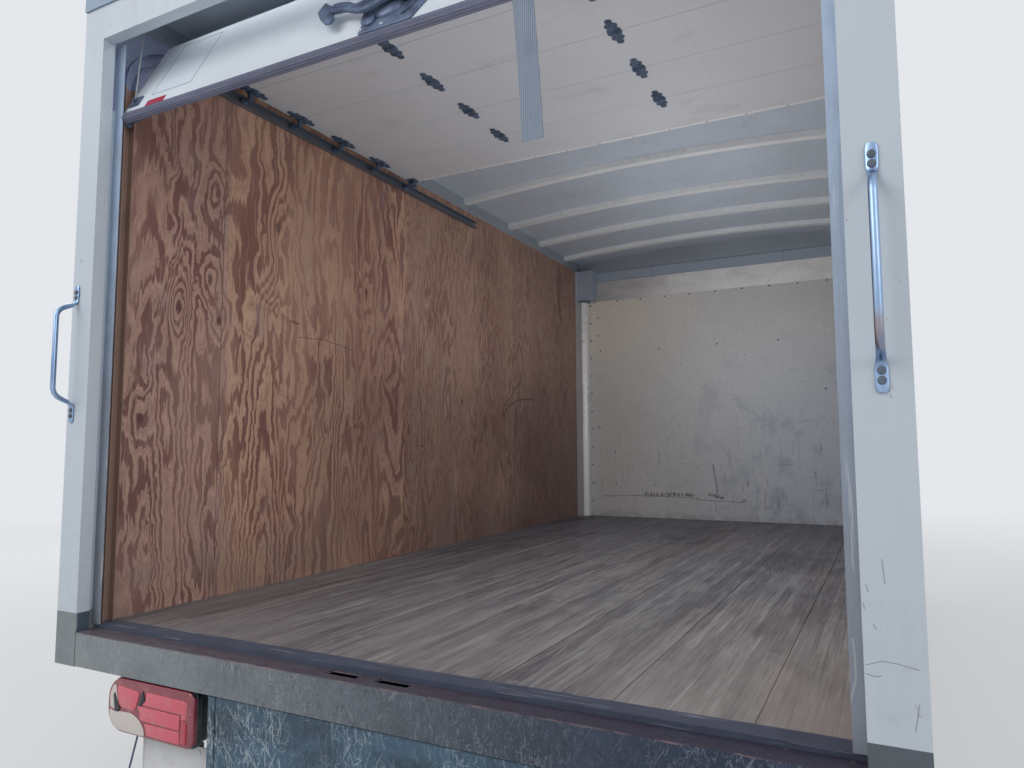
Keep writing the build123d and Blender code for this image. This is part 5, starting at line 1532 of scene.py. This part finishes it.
class CARGO_OT_front_panel(bpy.types.Operator):
    """Screws, corner strips and covers, and the creased band of the front lining"""

    bl_idname = "cargo.front_panel"
    bl_label = "Front panel"

    def execute(self, context):
        face = PANEL_LOW.y
        screw = disc("panel_screw", context.scene.cargo_fittings.screw_radius, 2.2 * MM, 10)
        places = [(-459, 1314), (2, 1322), (455, 1321), (773, 938), (-982, 1608), (-981, 1458), (-964, 1323),
                  (-982, 680)]
        places += [(980, 1608), (980, 1321), (982, 680)]
        places += [(side * 1046, 74 + 149.3 * number) for side in (-1, 1) for number in range(12)]
        places += [(203 * number, 1740) for number in range(-5, 6)]
        moves = [facing((x * MM, face, z * MM + MARKS_FROM), BACK) for x, z in places]
        fit(spread("front_panel_screws", screw, moves), "hardware", "white_panel")
        outer_end, inner_end = Vector((1.134, 1.996, 0)), Vector((1.058, 2.120, 0))
        way = inner_end - outer_end
        inward = Vector((-way.y, way.x, 0)).normalized()
        start, end = outer_end + way * 0.42, outer_end + way * 0.985
        ridge = start + Vector((-0.039, 0.0156, 0))
        foot = [outer_end + way * 0.405 + inward * 0.3 * MM, start + inward * 0.6 * MM,
                start.lerp(ridge, 0.5) + Vector((0.0004, -0.0009, 0)),
                ridge, ridge + Vector((-0.0012, 0.0022, 0)), end + inward * 0.4 * MM]
        ends = (FLOOR_TOP + 0.001, PANEL_HIGH.z - 0.002)
        rings = [[point + UP * z for point in foot] for z in ends]
        strips = both_sides("front_corner_strips", [loft("front_corner_strip", rings)])
        fit(strips, "bright_strip", "galvanized")
        cover = [outer_end + way * share + inward * lift * MM
                 for share, lift in ((0.02, 0.2), (0.03, 1.4), (0.45, 1.4), (0.45, 0.2))]
        rings = [[point + UP * z for point in cover] for z in ends]
        lip = box("gusset_lip", (1.050, 2.014, PANEL_HIGH.z - 0.010), (1.133, 2.118, PANEL_HIGH.z - 0.0005),
                  0.0008, 1)
        fit(both_sides("front_corner_covers", [loft("front_corner_cover", rings)]), "dull_strip", "galvanized")
        fit(both_sides("gusset_lips", [lip]), "hardware", "galvanized")
        fit(self.creased_band(), "band", "bright_sheet", "front_band", angle=40)
        # painted highlight: flaps at two creases in the bright strip finish, so that they show as glints
        dents = []
        for x, z, half, rise in ((-0.251, 2.136, 0.026, 0.011), (-0.335, 2.056, 0.013, 0.019)):
            foot = [Vector((x + across * half, BAND_LOW.y + 0.0004, z + up * rise))
                    for across, up in ((-1, -1), (1, -0.2), (0.6, 1), (-0.5, 0.3))]
            tip = Vector((x + half * 0.5, BAND_LOW.y, z))
            top = [point.lerp(tip, 0.6) - Vector((0, 0.0012 + 0.002 * number, 0))
                   for number, point in enumerate(foot)]
            dents.append(loft("band_dent_glint", [foot, top]))
        fit(join("band_dent_glints", dents), "bright_strip", "bright_sheet")
        return {"FINISHED"}

    def creased_band(self):
        """The band over the lining: a fine sheet with a few known creases and many small ones."""
        pick()
        width, height = BAND_HIGH.x - BAND_LOW.x, BAND_HIGH.z - BAND_LOW.z
        middle = (BAND_LOW + BAND_HIGH) / 2
        bpy.ops.mesh.primitive_grid_add(x_subdivisions=170, y_subdivisions=14, size=1, location=(0, 0, 0))
        band = named(bpy.context.object, "front_band_creased")
        generator = random.Random(11)
        creases = [(-0.251, 2.134, 0.035, 4.4), (-0.343, 2.050, 0.04, 4.6), (-0.62, 2.06, 0.07, 2.4),
                   (0.32, 2.10, 0.08, 2.6), (0.71, 2.04, 0.06, 3.0), (0.9, 2.11, 0.05, 2.2)]
        creases += [(generator.uniform(-1.0, 1.0), generator.uniform(2.0, 2.14), generator.uniform(0.03, 0.07),
                     generator.uniform(0.8, 1.8)) for _ in range(16)]
        for vertex in band.data.vertices:
            x, z = middle.x + vertex.co.x * width, middle.z + vertex.co.y * height
            dent = 0.0
            for crease_x, crease_z, reach, deep in creases:
                away = math.hypot((x - crease_x) / reach, (z - crease_z) / (reach * 0.8))
                dent += deep * max(0.0, 1 - away) ** 1.4
            edge = min(1.0, (vertex.co.y + 0.5) * 8, (0.5 - vertex.co.y) * 8)
            wave = 0.5 + 0.5 * math.sin(x * 9.0)
            vertex.co = (x, BAND_LOW.y + min(4.6, dent * max(0.0, edge) + 0.5 * wave) * MM, z)
        bpy.ops.object.mode_set(mode="EDIT")
        bpy.ops.mesh.select_all(action="SELECT")
        bpy.ops.mesh.extrude_region()
        solid = bmesh.from_edit_mesh(band.data)
        for vertex in solid.verts:
            if vertex.select:
                vertex.co.y = BAND_HIGH.y
        bmesh.update_edit_mesh(band.data)
        bpy.ops.mesh.select_all(action="SELECT")
        bpy.ops.mesh.normals_make_consistent(inside=False)
        bpy.ops.object.mode_set(mode="OBJECT")
        return band


class CARGO_OT_door_details(bpy.types.Operator):
    """Blank label and reflectors, sheets over the lining in the header cavity that partly paint its shade, the
    door's end strip, rims of the plate and the step panel
    """

    bl_idname = "cargo.door_details"
    bl_label = "Door details"

    def execute(self, context):
        def patch(name, corners, low, high):
            """A thin flat patch on the leaning panel."""
            return loft(name, [[on_panel(x, up, out) for x, up in corners] for out in (low, high)])

        label = patch("blank_label", [(-1000, 60), (-800, 60), (-800, 335), (-1000, 335)], 0.1, 0.5)
        fit(label, "label", "door_paint")
        edges = [(-996, -804, 64, 66), (-996, -804, 329, 331), (-996, -994, 64, 331), (-806, -804, 64, 331)]
        lines = [patch("label_line", [(left, low), (right, low), (right, high), (left, high)], 0.4, 0.8)
                 for left, right, low, high in edges]
        fit(join("label_outline", lines), "hardware", "door_paint")
        red = [patch("reflector", [(x, 2), (x + 92, 2), (x + 92, 34), (x, 34)], 0.1, 0.9) for x in (-993, 901)]
        fit(join("door_reflectors_red", red), "reflector_red", "lamp_red")
        # partly painted shade: bluish zinc sheets over the lining above the door's lean stand for the shaded
        # sides of the header cavity
        low_edge = [(44, 1900), (86, 1912), (233, 2024), (401, 2149), (515, 2229), (515, 2235.8), (44, 2235.8)]
        shield = loft("cavity_shade_sheet", [[at(x, rear, z) for rear, z in low_edge] for x in (1133.9, 1133.1)])
        fit(both_sides("cavity_shade_sheets", [shield]), "shield", "galvanized")
        low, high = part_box("door_panel_6")
        strip = box("door_end_strip", (low.x + 0.002, high.y - 0.020, low.z - 0.0014),
                    (high.x - 0.002, high.y - 0.0005, low.z), 0.0006, 1)
        fit(strip, "bows", "door_paint")
        screw = disc("end_strip_screw", 3.6 * MM, 1.6 * MM, 10)
        moves = [facing((-1.02 + 0.17 * number, high.y - 0.010, low.z - 0.0014), -UP) for number in range(13)]
        fit(spread("door_end_screws", screw, moves), "hardware", "door_paint")
        front, (left, _, foot), (right, _, top) = PLATE_LOW.y, PLATE_LOW, PLATE_HIGH
        edges = [box("plate_edge", (left, front - 0.0014, z), (right, front + 0.0002, z + 0.004), 0.0006, 1)
                 for z in (foot, top - 0.004)]
        edges += [box("plate_edge", (x, front - 0.0014, foot), (x + 0.004, front + 0.0002, top), 0.0006, 1)
                  for x in (left, right - 0.004)]
        fit(join("plate_rim", edges), "plate", "plate_white")
        bolt = disc("plate_bolt", 5.5 * MM, 3.0 * MM, 6)
        moves = [facing((x, front, z), BACK) for x in (left + 0.063, right - 0.063)
                 for z in (foot + 0.016, top - 0.016)]
        fit(spread("plate_bolts", bolt, moves), "rivet", "plate_white")
        face, low_z, high_z = STEP_LOW.y, STEP_LOW.z, STEP_HIGH.z
        rims = [box("step_rim", (x, face - 0.0025, low_z), (x + 0.026, face, high_z), 0.0009, 2)
                for x in (STEP_LOW.x, STEP_HIGH.x - 0.026)]
        rims.append(box("step_rim", (STEP_LOW.x, face - 0.0025, low_z), (STEP_HIGH.x, face, low_z + 0.014),
                        0.0009, 2))
        fit(join("step_panel_rims", rims), "step", "step_paint")
        return {"FINISHED"}


class CARGO_OT_stage(bpy.types.Operator):
    """Camera, pale floor and background, and the soft lamps"""

    bl_idname = "cargo.stage"
    bl_label = "Stage, lamps and camera"

    def execute(self, context):
        scene, stage = context.scene, context.scene.cargo_stage
        scene.view_settings.view_transform = "Standard"
        pick()
        bpy.ops.object.camera_add(location=CAMERA_PLACE)
        camera = named(context.object, "camera")
        camera.matrix_world = Matrix.Translation(camera.location)
        for angle, axis in ((CAMERA_HEADING, "Z"), (CAMERA_PITCH, "X"), (CAMERA_ROLL, "Z")):
            camera.matrix_world = camera.matrix_world @ Matrix.Rotation(math.radians(angle), 4, axis)
        camera.data.sensor_width, camera.data.lens = CAMERA_SENSOR, CAMERA_LENS
        camera.data.clip_start = 0.05
        scene.camera = camera
        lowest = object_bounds()[0][2]
        pick()
        bpy.ops.mesh.primitive_plane_add(size=60, location=(0, 0, lowest - stage.floor_drop))
        floor = named(context.object, "stage_floor")
        bpy.ops.object.transform_apply(location=True, rotation=True, scale=True)
        floor.data.materials.append(self.ground(stage))
        floor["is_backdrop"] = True
        self.world(scene, stage)
        lamps = [
            ("key_lamp", (-3.2, -7.5, 5.2), (0.0, -1.6, 0.9), 5.0, stage.key),
            ("right_lamp", (6.5, -5.5, 3.6), (0.6, -1.0, 1.0), 4.0, stage.fill * 0.55),
            ("front_lamp", (3.5, 8.0, 5.0), (0.0, 1.5, 1.0), 5.0, stage.fill),
            ("left_lamp", (-7.5, 1.0, 4.0), (-1.0, 0.0, 1.0), 4.5, stage.fill),
        ]
        for name, place, aim, size, power in lamps:
            self.lamp(name, place, aim, size, size, power)
        hold = [(0.40, -1.5, 1.05, 1.0), (0.35, -0.6, 1.10, 0.9), (0.2, 0.3, 1.45, 0.68),
                (0.2, 1.10, 1.50, 0.54)]
        for number, (*place, share) in enumerate(hold):
            self.hold_lamp(f"hold_lamp_{number}", place, stage.hold * share)
        place, aim = (0.0, REAR_Y + 0.19, 2.285), (0.0, REAR_Y + 0.13, 2.0)
        self.lamp("header_lamp", place, aim, 1.9, 0.05, stage.hold * 0.11, hidden=True)
        return {"FINISHED"}

    def hold_lamp(self, name, place, power, radius=0.5):
        """A large soft globe of light that no one sees."""
        pick()
        bpy.ops.object.light_add(type="POINT", location=place)
        lamp = named(bpy.context.object, name)
        lamp.data.energy, lamp.data.shadow_soft_size = power, radius
        lamp.data.color = (0.93, 0.97, 1.0)
        lamp.visible_camera = lamp.visible_glossy = False

    def ground(self, stage):
        """Pale floor that keeps the shadow near the box and fades into the background farther off."""
        ground = Finish("stage_floor", roughness=0.8, Specular_IOR_Level=0.1)
        ground.tone = ground.mix(ground.noise(0.8), dull(stage.floor_colour, 0.98),
                                 dull(stage.floor_colour, 1.02))
        path = ground.add("ShaderNodeLightPath").outputs
        seen = ground.most(path["Is Camera Ray"], path["Is Glossy Ray"], path["Is Transmission Ray"])
        away = ground.length(ground.joined(ground.x, ground.y))
        share = seen * away.span(3.0, 11.0, 0.55, 1.0)
        pale = ground.made("ShaderNodeEmission", {"Color": stage.background, "Strength": LIGHTEST})
        mixed = ground.made("ShaderNodeMixShader", {0: share, 1: ground.shader.outputs[0], 2: pale})
        ground.feed(ground.nodes["Material Output"].inputs["Surface"], mixed)
        return ground.done()

    def lamp(self, name, place, aim, width, height, power, hidden=False):
        """A square soft lamp that faces a place."""
        pick()
        bpy.ops.object.light_add(type="AREA", location=place)
        lamp = named(bpy.context.object, name)
        lamp.rotation_euler = (Vector(aim) - Vector(place)).to_track_quat("-Z", "Y").to_euler()
        lamp.data.shape = "RECTANGLE"
        lamp.data.size, lamp.data.size_y, lamp.data.energy = width, height, power
        lamp.visible_camera = False
        lamp.visible_glossy = not hidden

    def world(self, scene, stage):
        """Pale to the camera and in reflections, softer as a light."""
        world = bpy.data.worlds.new("pale_surround")
        scene.world = world
        world.use_nodes = True
        nodes, links = world.node_tree.nodes, world.node_tree.links
        light = nodes["Background"]
        light.inputs["Color"].default_value = (1.0, 1.0, 1.0, 1.0)
        light.inputs["Strength"].default_value = stage.world
        pale = nodes.new("ShaderNodeBackground")
        pale.inputs["Color"].default_value = (*stage.background, 1.0)
        pale.inputs["Strength"].default_value = LIGHTEST
        path = nodes.new("ShaderNodeLightPath")
        either = path.outputs["Is Camera Ray"]
        for name in ("Is Glossy Ray", "Is Transmission Ray"):
            largest = nodes.new("ShaderNodeMath")
            largest.operation = "MAXIMUM"
            links.new(either, largest.inputs[0])
            links.new(path.outputs[name], largest.inputs[1])
            either = largest.outputs[0]
        mixed = nodes.new("ShaderNodeMixShader")
        links.new(either, mixed.inputs[0])
        links.new(light.outputs[0], mixed.inputs[1])
        links.new(pale.outputs[0], mixed.inputs[2])
        links.new(mixed.outputs[0], nodes["World Output"].inputs["Surface"])


STEPS = [
    CARGO_OT_finishes, CARGO_OT_shell_rivets, CARGO_OT_front_panel, CARGO_OT_door_details, CARGO_OT_hinges,
    CARGO_OT_rollers, CARGO_OT_seal, CARGO_OT_latch, CARGO_OT_strap, CARGO_OT_handles, CARGO_OT_tail_lamps,
    CARGO_OT_markers, CARGO_OT_stage,
]
GROUPS = {"cargo_paints": CargoPaints, "cargo_woods": CargoWoods, "cargo_fittings": CargoFittings,
          "cargo_stage": CargoStage}


class CARGO_PT_panel(bpy.types.Panel):
    """The sidebar panel: sizes, colours and the steps in order"""

    bl_idname = "CARGO_PT_panel"
    bl_label = "Cargo Box"
    bl_space_type = "VIEW_3D"
    bl_region_type = "UI"
    bl_category = "Cargo Box"

    def draw(self, context):
        for name, group in GROUPS.items():
            column = self.layout.box().column()
            for key in group.__annotations__:
                column.prop(getattr(context.scene, name), key)
        for step in STEPS:
            self.layout.operator(step.bl_idname)


def register():
    """Registers the groups, the steps and the panel."""
    for name, group in GROUPS.items():
        bpy.utils.register_class(group)
        setattr(bpy.types.Scene, name, bpy.props.PointerProperty(type=group))
    for part in [*STEPS, CARGO_PT_panel]:
        bpy.utils.register_class(part)


def unregister():
    """Takes back what register did."""
    for part in reversed([*STEPS, CARGO_PT_panel]):
        bpy.utils.unregister_class(part)
    for name, group in reversed(list(GROUPS.items())):
        delattr(bpy.types.Scene, name)
        bpy.utils.unregister_class(group)


def main():
    """Dresses the box."""
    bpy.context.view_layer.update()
    register()
    for step in STEPS:
        group, name = step.bl_idname.split(".")
        getattr(getattr(bpy.ops, group), name)()


if __name__ == "__main__":
    main()
